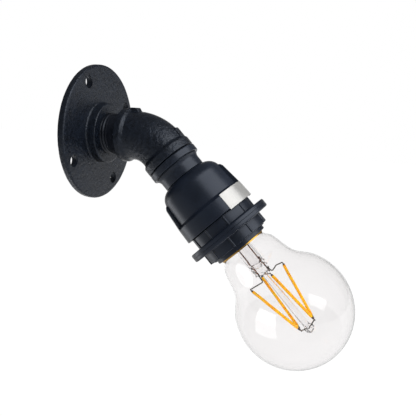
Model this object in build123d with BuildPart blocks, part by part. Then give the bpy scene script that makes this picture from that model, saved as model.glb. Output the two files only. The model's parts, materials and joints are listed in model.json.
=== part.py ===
from build123d import *
from math import atan2, cos, degrees, radians, sin
import os

os.makedirs("parts", exist_ok=True)

# An industrial wall light made of pipe fittings, in millimetres.
# The wall is the plane Y = 0 and +Z is up. A round flange sits on the wall, a pipe nipple comes
# straight out of it along -Y, a 45 degree elbow turns the pipe down, and an adaptor carries a
# screw-shell lamp holder with two shade rings. A clear lamp with four straight filaments is
# screwed in. Lengths called "..._at" are distances from the elbow's centre along the lamp axis.

# Clearances
thread_gap = 0.05  # between two pieces screwed tight together, on the radius
swivel_gap = 0.06  # running clearance of a pipe thread that is turned by hand, on the radius
ring_gap = 0.07  # running clearance of a shade ring on the holder's thread, on the radius
seat_gap = 0.05  # between two end faces that meet
contact_gap = 0.25  # between the screwed-in lamp and the contact springs
same_size = 0.01  # how near two lengths must be to count as one when edges are picked

# Wall flange
flange_diameter = 70.8
flange_thickness = 3.8
flange_edge_radius = 0.9
hub_diameter = 31.6
hub_reach = 8.7  # wall to the front face of the hub
hub_root_radius = 0.8
hub_edge_radius = 0.5
screw_to_rim = 6.4  # from the middle of a screw hole to the flange's rim
screw_hole_diameter = 6.3
screw_hole_count = 4
first_screw_angle = 25.0

# Pipe nipple, half-inch pipe
pipe_diameter = 21.3
pipe_bore = 15.8
nipple_recess = 1.0  # from the wall to the nipple's back end

# Elbow
wall_to_elbow = 33.6  # wall to the point where the elbow's two axes meet
elbow_reach = 15.9  # that point to either end face
bend_angle = 45.0
bend_radius = 21.0
elbow_body_diameter = 25.4
band_diameter = 28.0
entry_band_width = 3.4
exit_band_width = 4.4
band_edge_radius = 0.6
band_slope_length = 1.7  # of the slope from each band down to the body
band_slope_sink = 0.1  # how far under the body's surface that slope ends
elbow_bore = 17.2
socket_depth = 6.9
thread_depth = 6.6  # how far the nipple and the adaptor are screwed in
lug_width = 4.4
lug_root = 1.0  # how far inside the body's wall each lug starts
lug_slope_length = 2.0  # of the slope at each lug's free end
entry_lug_top = 14.4  # from the pipe's axis to the top of the lug
entry_lug_end = 7.8  # from the elbow's end face to the end of the lug's top
exit_lug_top = 13.6
exit_lug_end = 10.7

# Adaptor between the elbow and the lamp holder
collar_diameter = 28.0
collar_end_at = 20.0
collar_edge_radius = 0.6
collar_step = 0.9  # the step in, under the collar
neck_curve_radius = 4.2  # of the hollow curve from the collar down to the neck
neck_diameter = 23.6
neck_start_at = 23.0
neck_end_at = 27.1
adaptor_bore = 14.0
adaptor_bore_end_at = 19.5

# Threaded tube and lock nut that hold the holder's cap, M10 thread
tube_diameter = 10.0
tube_bore = 8.2
tube_start_at = 20.5
tube_end_at = 33.7
nut_width = 14.0
nut_thickness = 2.8
nut_corner_radius = 0.6

# Cap of the lamp holder
cap_top_diameter = 20.8
cap_shoulder_radius = 6.95
cap_foot_diameter = 36.2
cap_foot_at = 45.6
band_top_diameter = 40.1
band_top_at = 47.0
band_end_diameter = 40.7
band_end_at = 54.9
cap_roof = 2.6
cap_cavity_diameter = 30.0
cap_cavity_corner = 3.0
cap_thread_start_at = 40.9
pad_width_angle = 26.0
pad_top_at = 33.4
pad_proud = 1.3  # how far each side pad stands out at its top end
pad_root = 0.5  # how far inside the dome's wall each pad starts, from its thread
front_angle = 155.5  # side of the holder that carries the label, from +X about the lamp axis

# Blank foil label on the cap's lower band
label_thickness = 0.12
label_height = 8.9
label_overhang = 0.5
label_start_angle = 18.0  # from the front, towards the outer side of the light
label_span = 87.0

# Outer shell of the lamp holder
shell_thread_diameter = 32.1
shell_start_at = 41.3
shell_thread_end_at = 71.0
mouth_diameter = 29.4
mouth_end_at = 72.8
shell_bore = 27.0
shell_ledge_at = 47.5
insert_seat_diameter = 28.4

# Shade rings
ring_skirt_diameter = 35.8
ring_flange_diameter = 46.7
ring_flange_thickness = 2.15
ring_height = 7.7
ring_edge_radius = 0.6
ring_rib_count = 10
ring_rib_width = 1.1
ring_rib_height = 0.45
upper_rib_angle = -3.5  # of one rib, from the front
lower_rib_angle = 10.8

# Contact insert with its terminals and springs
insert_diameter = 28.2
insert_start_at = 41.6
pocket_floor_at = 45.0
pocket_low_x = -3.2
pocket_high_x = 8.2
pocket_width = 6.4
well_diameter = 11.6  # round recess that the lamp's contact sits in
well_floor_at = 46.4
strip_thickness = 0.45
strip_width = 5.0
side_strip_width = 4.0
slot_gap = 0.05
leg_offset = 7.0  # from the lamp axis to the middle of each contact's leg
leg_start_at = 38.0
centre_tongue_end_x = -2.5
side_tongue_offset = 12.98
side_tongue_end_at = 51.9
terminal_offset = 5.4
terminal_width = 4.8
terminal_depth = 6.0
terminal_height = 4.5
wire_hole_offset = 4.8
wire_hole_depth = 3.0
terminal_screw_diameter = 2.5
terminal_screw_head_diameter = 4.6
terminal_screw_head_height = 1.6
driver_slot_width = 0.6
driver_slot_depth = 0.6

# Lead from the wall to the terminals
sheath_diameter = 6.0
core_diameter = 2.3
core_offset = 1.4
tail_start = 0.4  # wall to the bare ends of the two cores
tail_length = 4.6
lead_split = 10.1  # elbow centre to the planes in which the lead twists when the light turns
lead_gap = 0.05
sheath_end_at = 31.0
core_bend_radius = 1.5

# Lamp: E27 cap
contact_diameter = 9.8
contact_start_at = 46.9
contact_end_at = 48.3
contact_edge_radius = 0.5
insulator_foot_diameter = 10.8
insulator_diameter = 21.8
insulator_end_at = 50.8
insulator_thickness = 0.7
lamp_shell_start_at = 50.95
lamp_shell_wall = 0.32
thread_major_diameter = 26.1
thread_minor_diameter = 24.4
thread_pitch = 3.629
thread_start_at = 52.0
thread_turns = 4.5
lamp_shell_end_diameter = 25.9
lamp_shell_end_at = 73.6

# Lamp: glass
globe_diameter = 60.0
globe_centre_at = 114.1
glass_wall = 0.7
glass_neck_diameter = 23.2
glass_neck_start_at = 62.0
glass_flare_at = 71.0
glass_shoulder_diameter = 31.2
glass_shoulder_at = 78.6
glass_waist_diameter = 37.8
glass_waist_at = 90.0
globe_join_angle = -27.5  # where the neck's curve runs into the globe, from its equator

# Lamp: stem, wires and filaments
flare_diameter = 21.4
flare_start_at = 62.4
flare_rim = 0.7
stem_diameter = 8.8
stem_wall = 0.8
stem_start_at = 69.5
pinch_start_at = 83.0
pinch_end_at = 90.4
pinch_width = 8.4
pinch_thickness = 3.2
pinch_edge_radius = 1.5
rod_diameter = 3.2
button_diameter = 5.2
button_at = 126.4
wire_diameter = 0.7
lead_in_offset = 2.8
lead_in_start_at = 52.5
cross_wire_low_at = 91.5
cross_wire_high_at = 92.6
filament_circle_diameter = 22.0
first_filament_angle = 56.5
filament_count = 4
filament_diameter = 1.4
filament_tip_diameter = 0.6
filament_tip_length = 1.1
filament_foot_at = 124.9
left_foot_offset = 4.0
right_foot_offset = 4.7
foot_spread = 1.25

# Worked out from the sizes above
screw_circle_diameter = flange_diameter - 2 * screw_to_rim
elbow_centre = Vector(0, -wall_to_elbow, 0)
lamp_direction = Vector(0, -cos(radians(bend_angle)), -sin(radians(bend_angle)))
wall = Plane(origin=(0, 0, 0), x_dir=(1, 0, 0), z_dir=(0, -1, 0))
lamp = Plane(origin=elbow_centre, x_dir=(1, 0, 0), z_dir=lamp_direction)
lamp_axis = Axis(elbow_centre, lamp_direction)
pipe_radius = pipe_diameter / 2
elbow_face = wall_to_elbow - elbow_reach
collar_start_at = elbow_reach + 2 * seat_gap
cap_start_at = neck_end_at + seat_gap
shell_radius = shell_thread_diameter / 2
upper_ring_start_at = band_end_at + 2 * seat_gap
rings_meet_at = upper_ring_start_at + ring_height
lower_ring_start_at = rings_meet_at + seat_gap
lower_ring_end_at = lower_ring_start_at + ring_height
insert_end_at = shell_ledge_at - seat_gap
terminal_end_at = insert_start_at - seat_gap
terminal_start_at = terminal_end_at - terminal_height
right_angle = front_angle - 90  # the outer side of the light, seen from the front
left_angle = front_angle + 90


def lamp_section(angle=0.0):
    """The half plane through the lamp axis: x is the radius and y runs along the axis."""
    radial = lamp.x_dir * cos(radians(angle)) + lamp.y_dir * sin(radians(angle))
    return Plane(origin=elbow_centre, x_dir=radial, z_dir=radial.cross(lamp_direction))


def lamp_point(angle, radius, at):
    """A point at an angle about the lamp axis, at a radius from it and at a distance along it."""
    radial = lamp.x_dir * cos(radians(angle)) + lamp.y_dir * sin(radians(angle))
    return elbow_centre + radial * radius + lamp_direction * at


def plane_towards(start, end):
    """The plane at a point that faces another point."""
    return Plane(origin=start, z_dir=end - start)


# Wall flange: a cast disc with a threaded hub and four screw holes
with BuildPart() as wall_flange:
    with BuildSketch(wall):
        Circle(flange_diameter / 2)
    extrude(amount=flange_thickness)
    rim_edges = wall_flange.edges().filter_by(GeomType.CIRCLE)
    fillet(rim_edges, radius=flange_edge_radius)
    with BuildSketch(wall.offset(flange_thickness - flange_edge_radius)):
        Circle(hub_diameter / 2)
    extrude(amount=hub_reach - flange_thickness + flange_edge_radius)
    hub_edges = wall_flange.edges().filter_by(GeomType.CIRCLE)
    hub_edges = hub_edges.filter_by(lambda edge: abs(edge.radius - hub_diameter / 2) < same_size)
    hub_root, hub_front = hub_edges.sort_by(Axis.Y, reverse=True)
    fillet(hub_root, radius=hub_root_radius)
    fillet(hub_front, radius=hub_edge_radius)
    with BuildSketch(wall):
        Circle(pipe_radius + thread_gap)
        with PolarLocations(screw_circle_diameter / 2, screw_hole_count, first_screw_angle):
            Circle(screw_hole_diameter / 2)
    extrude(amount=hub_reach, mode=Mode.SUBTRACT)
wall_flange.part.label = "wall_flange"
export_step(wall_flange.part, "parts/wall_flange.step")

# Pipe nipple: the short length of pipe between the flange and the elbow
nipple_end = elbow_face + thread_depth
with BuildPart() as wall_nipple:
    with BuildSketch(wall.offset(nipple_recess)):
        Circle(pipe_radius)
        Circle(pipe_bore / 2, mode=Mode.SUBTRACT)
    extrude(amount=nipple_end - nipple_recess)
wall_nipple.part.label = "wall_nipple"
export_step(wall_nipple.part, "parts/wall_nipple.step")

# Lead inside the nipple, with the ends of its two cores at the wall
with BuildPart() as lead_in_nipple:
    with BuildSketch(wall.offset(tail_start + tail_length)):
        Circle(sheath_diameter / 2)
    extrude(amount=wall_to_elbow - lead_split - lead_gap / 2 - tail_start - tail_length)
lead_in_nipple.part.label = "lead_in_nipple"
export_step(lead_in_nipple.part, "parts/lead_in_nipple.step")

for tail_name, side in (("brown_tail", 1), ("blue_tail", -1)):
    with BuildPart() as tail:
        with BuildSketch(wall.offset(tail_start)):
            with Locations((side * core_offset, 0)):
                Circle(core_diameter / 2)
        extrude(amount=tail_length - seat_gap)
    tail.part.label = tail_name
    export_step(tail.part, f"parts/{tail_name}.step")

# Elbow: a cast 45 degree bend with a raised band and a small lug at each end
elbow_entry = Vector(0, -elbow_face, 0)
elbow_exit = elbow_centre + lamp_direction * elbow_reach
entry_plane = Plane(origin=elbow_entry, x_dir=(1, 0, 0), z_dir=(0, -1, 0))
exit_plane = Plane(origin=elbow_exit, x_dir=(1, 0, 0), z_dir=-lamp_direction)
band_step = (band_diameter - elbow_body_diameter) / 2
band_slope_angle = degrees(atan2(band_step + band_slope_sink, band_slope_length))
lug_root_radius = elbow_body_diameter / 2 - lug_root
with BuildPart() as elbow:
    with BuildLine() as elbow_line:
        FilletPolyline(elbow_entry, elbow_centre, elbow_exit, radius=bend_radius)
    with BuildSketch(entry_plane):
        Circle(elbow_body_diameter / 2)
    sweep(path=elbow_line.line)
    for end_plane, band_width in ((entry_plane, entry_band_width), (exit_plane, exit_band_width)):
        with BuildSketch(end_plane):
            Circle(band_diameter / 2)
        extrude(amount=band_width)
        with BuildSketch(end_plane.offset(band_width)):
            Circle(band_diameter / 2)
        extrude(amount=band_slope_length, taper=band_slope_angle)
    band_edges = elbow.edges().filter_by(GeomType.CIRCLE)
    band_edges = band_edges.filter_by(lambda edge: abs(edge.radius - band_diameter / 2) < same_size)
    fillet(band_edges, radius=band_edge_radius)
    for end_plane, outward, lug_start, lug_top, lug_end in (
        (entry_plane, wall.y_dir, entry_band_width - band_edge_radius, entry_lug_top, entry_lug_end),
        (exit_plane, lamp.y_dir, exit_band_width - band_edge_radius, exit_lug_top, exit_lug_end),
    ):
        inward = end_plane.z_dir
        with BuildSketch(Plane(end_plane.origin, x_dir=inward, z_dir=inward.cross(outward))):
            Polygon(
                (lug_start, lug_root_radius),
                (lug_start, lug_top),
                (lug_end, lug_top),
                (lug_end + lug_slope_length, lug_root_radius),
                align=None,
            )
        extrude(amount=lug_width / 2, both=True)
    with BuildSketch(entry_plane):
        Circle(elbow_bore / 2)
    sweep(path=elbow_line.line, mode=Mode.SUBTRACT)
    for end_plane in (entry_plane, exit_plane):
        with BuildSketch(end_plane):
            Circle(pipe_radius + swivel_gap)
        extrude(amount=socket_depth, mode=Mode.SUBTRACT)
elbow.part.label = "elbow"
export_step(elbow.part, "parts/elbow.step")

# Lead inside the elbow, between the two planes in which it twists
lead_entry = elbow_centre + Vector(0, lead_split - lead_gap / 2, 0)
lead_exit = elbow_centre + lamp_direction * (lead_split - lead_gap / 2)
with BuildPart() as lead_in_elbow:
    with BuildLine() as lead_line:
        FilletPolyline(lead_entry, elbow_centre, lead_exit, radius=bend_radius)
    with BuildSketch(Plane(origin=lead_entry, x_dir=(1, 0, 0), z_dir=(0, -1, 0))):
        Circle(sheath_diameter / 2)
    sweep(path=lead_line.line)
lead_in_elbow.part.label = "lead_in_elbow"
export_step(lead_in_elbow.part, "parts/lead_in_elbow.step")

# Adaptor: a threaded stub, a collar against the elbow's end and a narrower neck
stub_start_at = elbow_reach - thread_depth
collar_radius = collar_diameter / 2
neck_radius = neck_diameter / 2
with BuildPart() as adaptor:
    with BuildSketch(lamp_section()):
        with BuildLine():
            Polyline(
                (adaptor_bore / 2, stub_start_at),
                (pipe_radius, stub_start_at),
                (pipe_radius, collar_start_at),
                (collar_radius, collar_start_at),
                (collar_radius, collar_end_at),
                (collar_radius - collar_step, collar_end_at),
            )
            RadiusArc(
                (collar_radius - collar_step, collar_end_at),
                (neck_radius, neck_start_at),
                neck_curve_radius,
            )
            Polyline(
                (neck_radius, neck_start_at),
                (neck_radius, neck_end_at),
                (tube_diameter / 2 + thread_gap, neck_end_at),
                (tube_diameter / 2 + thread_gap, adaptor_bore_end_at),
                (adaptor_bore / 2, adaptor_bore_end_at),
                (adaptor_bore / 2, stub_start_at),
            )
        make_face()
    revolve(axis=lamp_axis)
    collar_edges = adaptor.edges().filter_by(GeomType.CIRCLE)
    collar_edges = collar_edges.filter_by(lambda edge: abs(edge.radius - collar_radius) < same_size)
    fillet(collar_edges, radius=collar_edge_radius)
adaptor.part.label = "adaptor"
export_step(adaptor.part, "parts/adaptor.step")

# Threaded tube: joins the adaptor to the cap and lets the lead through
with BuildPart() as entry_tube:
    with BuildSketch(lamp.offset(tube_start_at)):
        Circle(tube_diameter / 2)
        Circle(tube_bore / 2, mode=Mode.SUBTRACT)
    extrude(amount=tube_end_at - tube_start_at)
entry_tube.part.label = "entry_tube"
export_step(entry_tube.part, "parts/entry_tube.step")

# Lock nut: clamps the cap's roof against the adaptor
nut_start_at = cap_start_at + cap_roof + seat_gap
with BuildPart() as lock_nut:
    with BuildSketch(lamp.offset(nut_start_at)):
        RegularPolygon(nut_width / 2, 6, major_radius=False)
        Circle(tube_diameter / 2 + thread_gap, mode=Mode.SUBTRACT)
    extrude(amount=nut_thickness)
    fillet(lock_nut.edges().filter_by(lamp_axis), radius=nut_corner_radius)
lock_nut.part.label = "lock_nut"
export_step(lock_nut.part, "parts/lock_nut.step")

# Cap of the lamp holder: a dome with two side pads and a wider band at its foot
cap_top_radius = cap_top_diameter / 2
shoulder_radius = cap_top_radius + cap_shoulder_radius
shoulder_end_at = cap_start_at + cap_shoulder_radius
cavity_radius = cap_cavity_diameter / 2
cavity_top_at = cap_start_at + cap_roof
entry_hole_radius = tube_diameter / 2 + thread_gap
cap_thread_radius = shell_radius + thread_gap
with BuildPart() as holder_cap:
    with BuildSketch(lamp_section()):
        with BuildLine():
            Line((entry_hole_radius, cap_start_at), (cap_top_radius, cap_start_at))
            RadiusArc(
                (cap_top_radius, cap_start_at),
                (shoulder_radius, shoulder_end_at),
                -cap_shoulder_radius,
            )
            Polyline(
                (shoulder_radius, shoulder_end_at),
                (cap_foot_diameter / 2, cap_foot_at),
                (band_top_diameter / 2, band_top_at),
                (band_end_diameter / 2, band_end_at),
                (cap_thread_radius, band_end_at),
                (cap_thread_radius, cap_thread_start_at),
                (cavity_radius, cap_thread_start_at),
                (cavity_radius, cavity_top_at + cap_cavity_corner),
            )
            RadiusArc(
                (cavity_radius, cavity_top_at + cap_cavity_corner),
                (cavity_radius - cap_cavity_corner, cavity_top_at),
                cap_cavity_corner,
            )
            Polyline(
                (cavity_radius - cap_cavity_corner, cavity_top_at),
                (entry_hole_radius, cavity_top_at),
                (entry_hole_radius, cap_start_at),
            )
        make_face()
    revolve(axis=lamp_axis)
    for pad_angle in (left_angle, right_angle):
        with BuildSketch(lamp_section(pad_angle - pad_width_angle / 2)):
            with BuildLine():
                Polyline(
                    (cap_thread_radius + pad_root, pad_top_at),
                    (shoulder_radius + pad_proud / 2, pad_top_at),
                    (shoulder_radius + pad_proud, pad_top_at + pad_proud),
                    (band_top_diameter / 2, band_top_at),
                    (cap_thread_radius + pad_root, band_top_at),
                    close=True,
                )
            make_face()
        revolve(axis=lamp_axis, revolution_arc=pad_width_angle)
holder_cap.part.label = "holder_cap"
export_step(holder_cap.part, "parts/holder_cap.step")

# Label: a blank foil strip round part of the cap's lower band
label_end_at = band_end_at + label_overhang
band_slope = (band_end_diameter - band_top_diameter) / 2 / (band_end_at - band_top_at)


def band_radius(at):
    """The radius of the cap's lower band, at a distance along the lamp axis."""
    return band_end_diameter / 2 - band_slope * (band_end_at - at)


label_inner_low = band_radius(label_end_at) + seat_gap / 2
label_inner_high = band_radius(label_end_at - label_height) + seat_gap / 2
with BuildPart() as label:
    with BuildSketch(lamp_section(front_angle - label_start_angle - label_span)):
        with BuildLine():
            Polyline(
                (label_inner_high, label_end_at - label_height),
                (label_inner_high + label_thickness, label_end_at - label_height),
                (label_inner_low + label_thickness, label_end_at),
                (label_inner_low, label_end_at),
                close=True,
            )
        make_face()
    revolve(axis=lamp_axis, revolution_arc=label_span)
label.part.label = "label"
export_step(label.part, "parts/label.step")

# Outer shell: screwed into the cap, it carries the shade rings and takes the lamp
with BuildPart() as outer_shell:
    with BuildSketch(lamp_section()):
        with BuildLine():
            Polyline(
                (insert_seat_diameter / 2, shell_start_at),
                (shell_radius, shell_start_at),
                (shell_radius, shell_thread_end_at),
                (mouth_diameter / 2, shell_thread_end_at),
                (mouth_diameter / 2, mouth_end_at),
                (shell_bore / 2, mouth_end_at),
                (shell_bore / 2, shell_ledge_at),
                (insert_seat_diameter / 2, shell_ledge_at),
                close=True,
            )
        make_face()
    revolve(axis=lamp_axis)
outer_shell.part.label = "outer_shell"
export_step(outer_shell.part, "parts/outer_shell.step")


# Shade rings: the upper one's skirt points to the cap and the lower one's to the lamp
def shade_ring(skirt_end_at, flange_face_at, rib_angle):
    """A ribbed skirt and a flange, from the skirt's free end to the flange's flat face."""
    towards_flange = 1 if flange_face_at > skirt_end_at else -1
    skirt_plane = lamp.offset(skirt_end_at)
    rib_middle = ring_skirt_diameter / 2 + ring_rib_height / 2 - ring_rib_width / 4
    with BuildPart() as ring:
        with BuildSketch(skirt_plane):
            Circle(ring_skirt_diameter / 2)
            with PolarLocations(rib_middle, ring_rib_count, front_angle + rib_angle):
                Rectangle(ring_rib_height + ring_rib_width / 2, ring_rib_width)
        extrude(amount=towards_flange * (ring_height - ring_flange_thickness / 2))
        with BuildSketch(lamp.offset(flange_face_at)):
            Circle(ring_flange_diameter / 2)
        extrude(amount=-towards_flange * ring_flange_thickness)
        rim = ring.edges().filter_by(GeomType.CIRCLE)
        rim = rim.filter_by(lambda edge: abs(edge.radius - ring_flange_diameter / 2) < same_size)
        fillet(rim, radius=ring_edge_radius)
        with BuildSketch(skirt_plane):
            Circle(shell_radius + ring_gap)
        extrude(amount=towards_flange * ring_height, mode=Mode.SUBTRACT)
    return ring.part


upper_shade_ring = shade_ring(upper_ring_start_at, rings_meet_at, upper_rib_angle)
upper_shade_ring.label = "upper_shade_ring"
export_step(upper_shade_ring, "parts/upper_shade_ring.step")

lower_shade_ring = shade_ring(lower_ring_end_at, lower_ring_start_at, lower_rib_angle)
lower_shade_ring.label = "lower_shade_ring"
export_step(lower_shade_ring, "parts/lower_shade_ring.step")

# Contact insert: a moulded disc with a pocket for the centre spring and two slots for the legs
with BuildPart() as contact_insert:
    with BuildSketch(lamp.offset(insert_start_at)):
        Circle(insert_diameter / 2)
    extrude(amount=insert_end_at - insert_start_at)
    with BuildSketch(lamp.offset(pocket_floor_at)):
        with Locations(((pocket_low_x + pocket_high_x) / 2, 0)):
            Rectangle(pocket_high_x - pocket_low_x, pocket_width)
    extrude(amount=insert_end_at - pocket_floor_at, mode=Mode.SUBTRACT)
    with BuildSketch(lamp.offset(well_floor_at)):
        Circle(well_diameter / 2)
    extrude(amount=insert_end_at - well_floor_at, mode=Mode.SUBTRACT)
    with BuildSketch(lamp.offset(insert_start_at)):
        with Locations((leg_offset, 0)):
            Rectangle(strip_thickness + 2 * slot_gap, strip_width + 2 * slot_gap)
        with Locations((-leg_offset, 0)):
            Rectangle(strip_thickness + 2 * slot_gap, side_strip_width + 2 * slot_gap)
    extrude(amount=insert_end_at - insert_start_at, mode=Mode.SUBTRACT)
contact_insert.part.label = "contact_insert"
export_step(contact_insert.part, "parts/contact_insert.step")

# Centre contact: a springy strip from its terminal, through the insert, under the lamp's contact
leg_outer = leg_offset + strip_thickness / 2
leg_inner = leg_offset - strip_thickness / 2
foot_at = pocket_floor_at + seat_gap
tongue_at = contact_start_at - contact_gap
tongue_start_x = leg_offset / 5
with BuildPart() as centre_contact:
    with BuildSketch(lamp_section()):
        with BuildLine():
            Polyline(
                (leg_outer, leg_start_at),
                (leg_outer, foot_at + strip_thickness),
                (leg_offset / 2, foot_at + strip_thickness),
                (tongue_start_x, tongue_at),
                (centre_tongue_end_x, tongue_at),
                (centre_tongue_end_x, tongue_at - strip_thickness),
                (tongue_start_x, tongue_at - strip_thickness),
                (leg_offset / 2, foot_at),
                (leg_inner, foot_at),
                (leg_inner, leg_start_at),
                close=True,
            )
        make_face()
    extrude(amount=strip_width / 2, both=True)
centre_contact.part.label = "centre_contact"
export_step(centre_contact.part, "parts/centre_contact.step")

# Side contact: its strip crosses the insert's front and stands beside the lamp's screw shell
side_inner = side_tongue_offset - strip_thickness / 2
side_outer = side_tongue_offset + strip_thickness / 2
side_foot_at = insert_end_at + seat_gap
with BuildPart() as side_contact:
    with BuildSketch(lamp_section(180)):
        with BuildLine():
            Polyline(
                (leg_inner, leg_start_at),
                (leg_inner, side_foot_at + strip_thickness),
                (side_inner, side_foot_at + strip_thickness),
                (side_inner, side_tongue_end_at),
                (side_outer, side_tongue_end_at),
                (side_outer, side_foot_at),
                (leg_outer, side_foot_at),
                (leg_outer, leg_start_at),
                close=True,
            )
        make_face()
    extrude(amount=side_strip_width / 2, both=True)
side_contact.part.label = "side_contact"
export_step(side_contact.part, "parts/side_contact.step")

# Terminals: a brass block on each leg, with a hole for the core and a screw that clamps it
core_radius = core_diameter / 2
screw_radius = terminal_screw_diameter / 2
screw_tip = core_radius + seat_gap
for terminal_name, side, leg_width in (
    ("line_terminal", 1, strip_width),
    ("neutral_terminal", -1, side_strip_width),
):
    with BuildPart() as terminal:
        with BuildSketch(lamp.offset(terminal_start_at)):
            with Locations((side * terminal_offset, 0)):
                Rectangle(terminal_width, terminal_depth)
        extrude(amount=terminal_height)
        with BuildSketch(lamp.offset(terminal_start_at)):
            with Locations((side * leg_offset, 0)):
                Rectangle(strip_thickness + 2 * slot_gap, leg_width + 2 * slot_gap)
        extrude(amount=terminal_height, mode=Mode.SUBTRACT)
        with BuildSketch(lamp.offset(terminal_start_at)):
            with Locations((side * wire_hole_offset, 0)):
                Circle(core_radius + thread_gap)
        extrude(amount=wire_hole_depth + seat_gap, mode=Mode.SUBTRACT)
        screw_origin = lamp_point(0, side * wire_hole_offset, terminal_start_at + wire_hole_depth / 2)
        with BuildSketch(Plane(origin=screw_origin, x_dir=lamp.x_dir, z_dir=lamp.y_dir)):
            Circle(screw_radius + thread_gap)
        extrude(amount=terminal_depth, mode=Mode.SUBTRACT)
    terminal.part.label = terminal_name
    export_step(terminal.part, f"parts/{terminal_name}.step")

head_start = terminal_depth / 2 + seat_gap
with BuildPart() as terminal_screws:
    for side in (1, -1):
        screw_origin = lamp_point(0, side * wire_hole_offset, terminal_start_at + wire_hole_depth / 2)
        screw_plane = Plane(origin=screw_origin, x_dir=lamp.x_dir, z_dir=lamp.y_dir)
        with BuildSketch(screw_plane.offset(screw_tip)):
            Circle(screw_radius)
        extrude(amount=head_start - screw_tip)
        with BuildSketch(screw_plane.offset(head_start)):
            Circle(terminal_screw_head_diameter / 2)
        extrude(amount=terminal_screw_head_height)
        with BuildSketch(screw_plane.offset(head_start + terminal_screw_head_height)):
            Rectangle(terminal_screw_head_diameter, driver_slot_width)
        extrude(amount=-driver_slot_depth, mode=Mode.SUBTRACT)
terminal_screws.part.label = "terminal_screws"
export_step(terminal_screws.part, "parts/terminal_screws.step")

# Lead inside the adaptor and the tube, and its two cores, bent out to the terminals
with BuildPart() as lead_in_holder:
    with BuildSketch(lamp.offset(lead_split + lead_gap / 2)):
        Circle(sheath_diameter / 2)
    extrude(amount=sheath_end_at - lead_split - lead_gap / 2)
lead_in_holder.part.label = "lead_in_holder"
export_step(lead_in_holder.part, "parts/lead_in_holder.step")

core_start_at = sheath_end_at + seat_gap
core_end_at = terminal_start_at + wire_hole_depth
for core_name, side in (("brown_core", 1), ("blue_core", -1)):
    core_points = [
        lamp_point(0, side * core_offset, core_start_at),
        lamp_point(0, side * core_offset, tube_end_at - core_radius),
        lamp_point(0, side * wire_hole_offset, terminal_start_at - core_radius),
        lamp_point(0, side * wire_hole_offset, core_end_at),
    ]
    with BuildPart() as core:
        with BuildLine() as core_line:
            FilletPolyline(*core_points, radius=core_bend_radius)
        with BuildSketch(Plane(origin=core_points[0], x_dir=(1, 0, 0), z_dir=lamp_direction)):
            Circle(core_radius)
        sweep(path=core_line.line)
    core.part.label = core_name
    export_step(core.part, f"parts/{core_name}.step")

# Lamp contact: the round solder pad at the lamp's end
with BuildPart() as lamp_contact:
    with BuildSketch(lamp.offset(contact_start_at)):
        Circle(contact_diameter / 2)
    extrude(amount=contact_end_at - contact_start_at)
    fillet(lamp_contact.edges().sort_by(lamp_axis)[0], radius=contact_edge_radius)
lamp_contact.part.label = "lamp_contact"
export_step(lamp_contact.part, "parts/lamp_contact.step")

# Lamp insulator: the black glass cone between the contact and the screw shell
with BuildPart() as lamp_insulator:
    with BuildSketch(lamp_section()):
        with BuildLine():
            Polyline(
                (0, contact_end_at + seat_gap),
                (insulator_foot_diameter / 2, contact_end_at + seat_gap),
                (insulator_diameter / 2, insulator_end_at),
                (insulator_diameter / 2, insulator_end_at + insulator_thickness),
                (0, insulator_end_at + insulator_thickness),
                close=True,
            )
        make_face()
    revolve(axis=lamp_axis)
lamp_insulator.part.label = "lamp_insulator"
export_step(lamp_insulator.part, "parts/lamp_insulator.step")

# Lamp screw shell: thin brass with rounded thread ridges
major_radius = thread_major_diameter / 2
minor_radius = thread_minor_diameter / 2
shell_inner_radius = minor_radius - lamp_shell_wall
top_radius = lamp_shell_end_diameter / 2
thread_points = []
for half_turn in range(int(2 * thread_turns) + 1):
    ridge_radius = major_radius if half_turn % 2 else minor_radius
    thread_points.append((ridge_radius, thread_start_at + half_turn * thread_pitch / 2))
thread_end_at = thread_points[-1][1]
with BuildPart() as lamp_shell:
    with BuildSketch(lamp_section()):
        with BuildLine():
            Spline(*thread_points)
            Polyline(
                thread_points[-1],
                (top_radius, thread_end_at + thread_pitch / 4),
                (top_radius, lamp_shell_end_at),
                (top_radius - lamp_shell_wall, lamp_shell_end_at),
                (top_radius - lamp_shell_wall, thread_end_at + thread_pitch / 4),
                (shell_inner_radius, thread_end_at),
                (shell_inner_radius, thread_start_at),
                (insulator_diameter / 2 + seat_gap, lamp_shell_start_at + lamp_shell_wall),
                (insulator_diameter / 2 + seat_gap, lamp_shell_start_at),
                (minor_radius - lamp_shell_wall, lamp_shell_start_at),
                thread_points[0],
            )
        make_face()
    revolve(axis=lamp_axis)
lamp_shell.part.label = "lamp_shell"
export_step(lamp_shell.part, "parts/lamp_shell.step")

# Lamp glass: a globe whose curve runs down into a straight neck inside the screw shell
globe_radius = globe_diameter / 2


def glass_outline(inset):
    """The glass profile from neck to tip, moved inwards by an inset."""
    radius = globe_radius - inset
    neck = glass_neck_diameter / 2 - inset
    join = radians(globe_join_angle)
    join_point = (radius * cos(join), globe_centre_at + radius * sin(join))
    shoulder = (glass_shoulder_diameter / 2 - inset, glass_shoulder_at)
    waist = (glass_waist_diameter / 2 - inset, glass_waist_at)
    tip = (0, globe_centre_at + radius)
    middle = radians(30)
    Line((neck, glass_neck_start_at), (neck, glass_flare_at))
    Spline(
        (neck, glass_flare_at),
        shoulder,
        waist,
        join_point,
        tangents=((0, 1), (-sin(join), cos(join))),
    )
    ThreePointArc(
        join_point,
        (radius * cos(middle), globe_centre_at + radius * sin(middle)),
        tip,
    )
    return neck, tip


with BuildPart() as lamp_glass:
    with BuildSketch(lamp_section()):
        with BuildLine():
            outer_neck, outer_tip = glass_outline(0)
            inner_neck, inner_tip = glass_outline(glass_wall)
            Line((outer_neck, glass_neck_start_at), (inner_neck, glass_neck_start_at))
            Line(outer_tip, inner_tip)
        make_face()
    revolve(axis=lamp_axis)
lamp_glass.part.label = "lamp_glass"
export_step(lamp_glass.part, "parts/lamp_glass.step")

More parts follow.
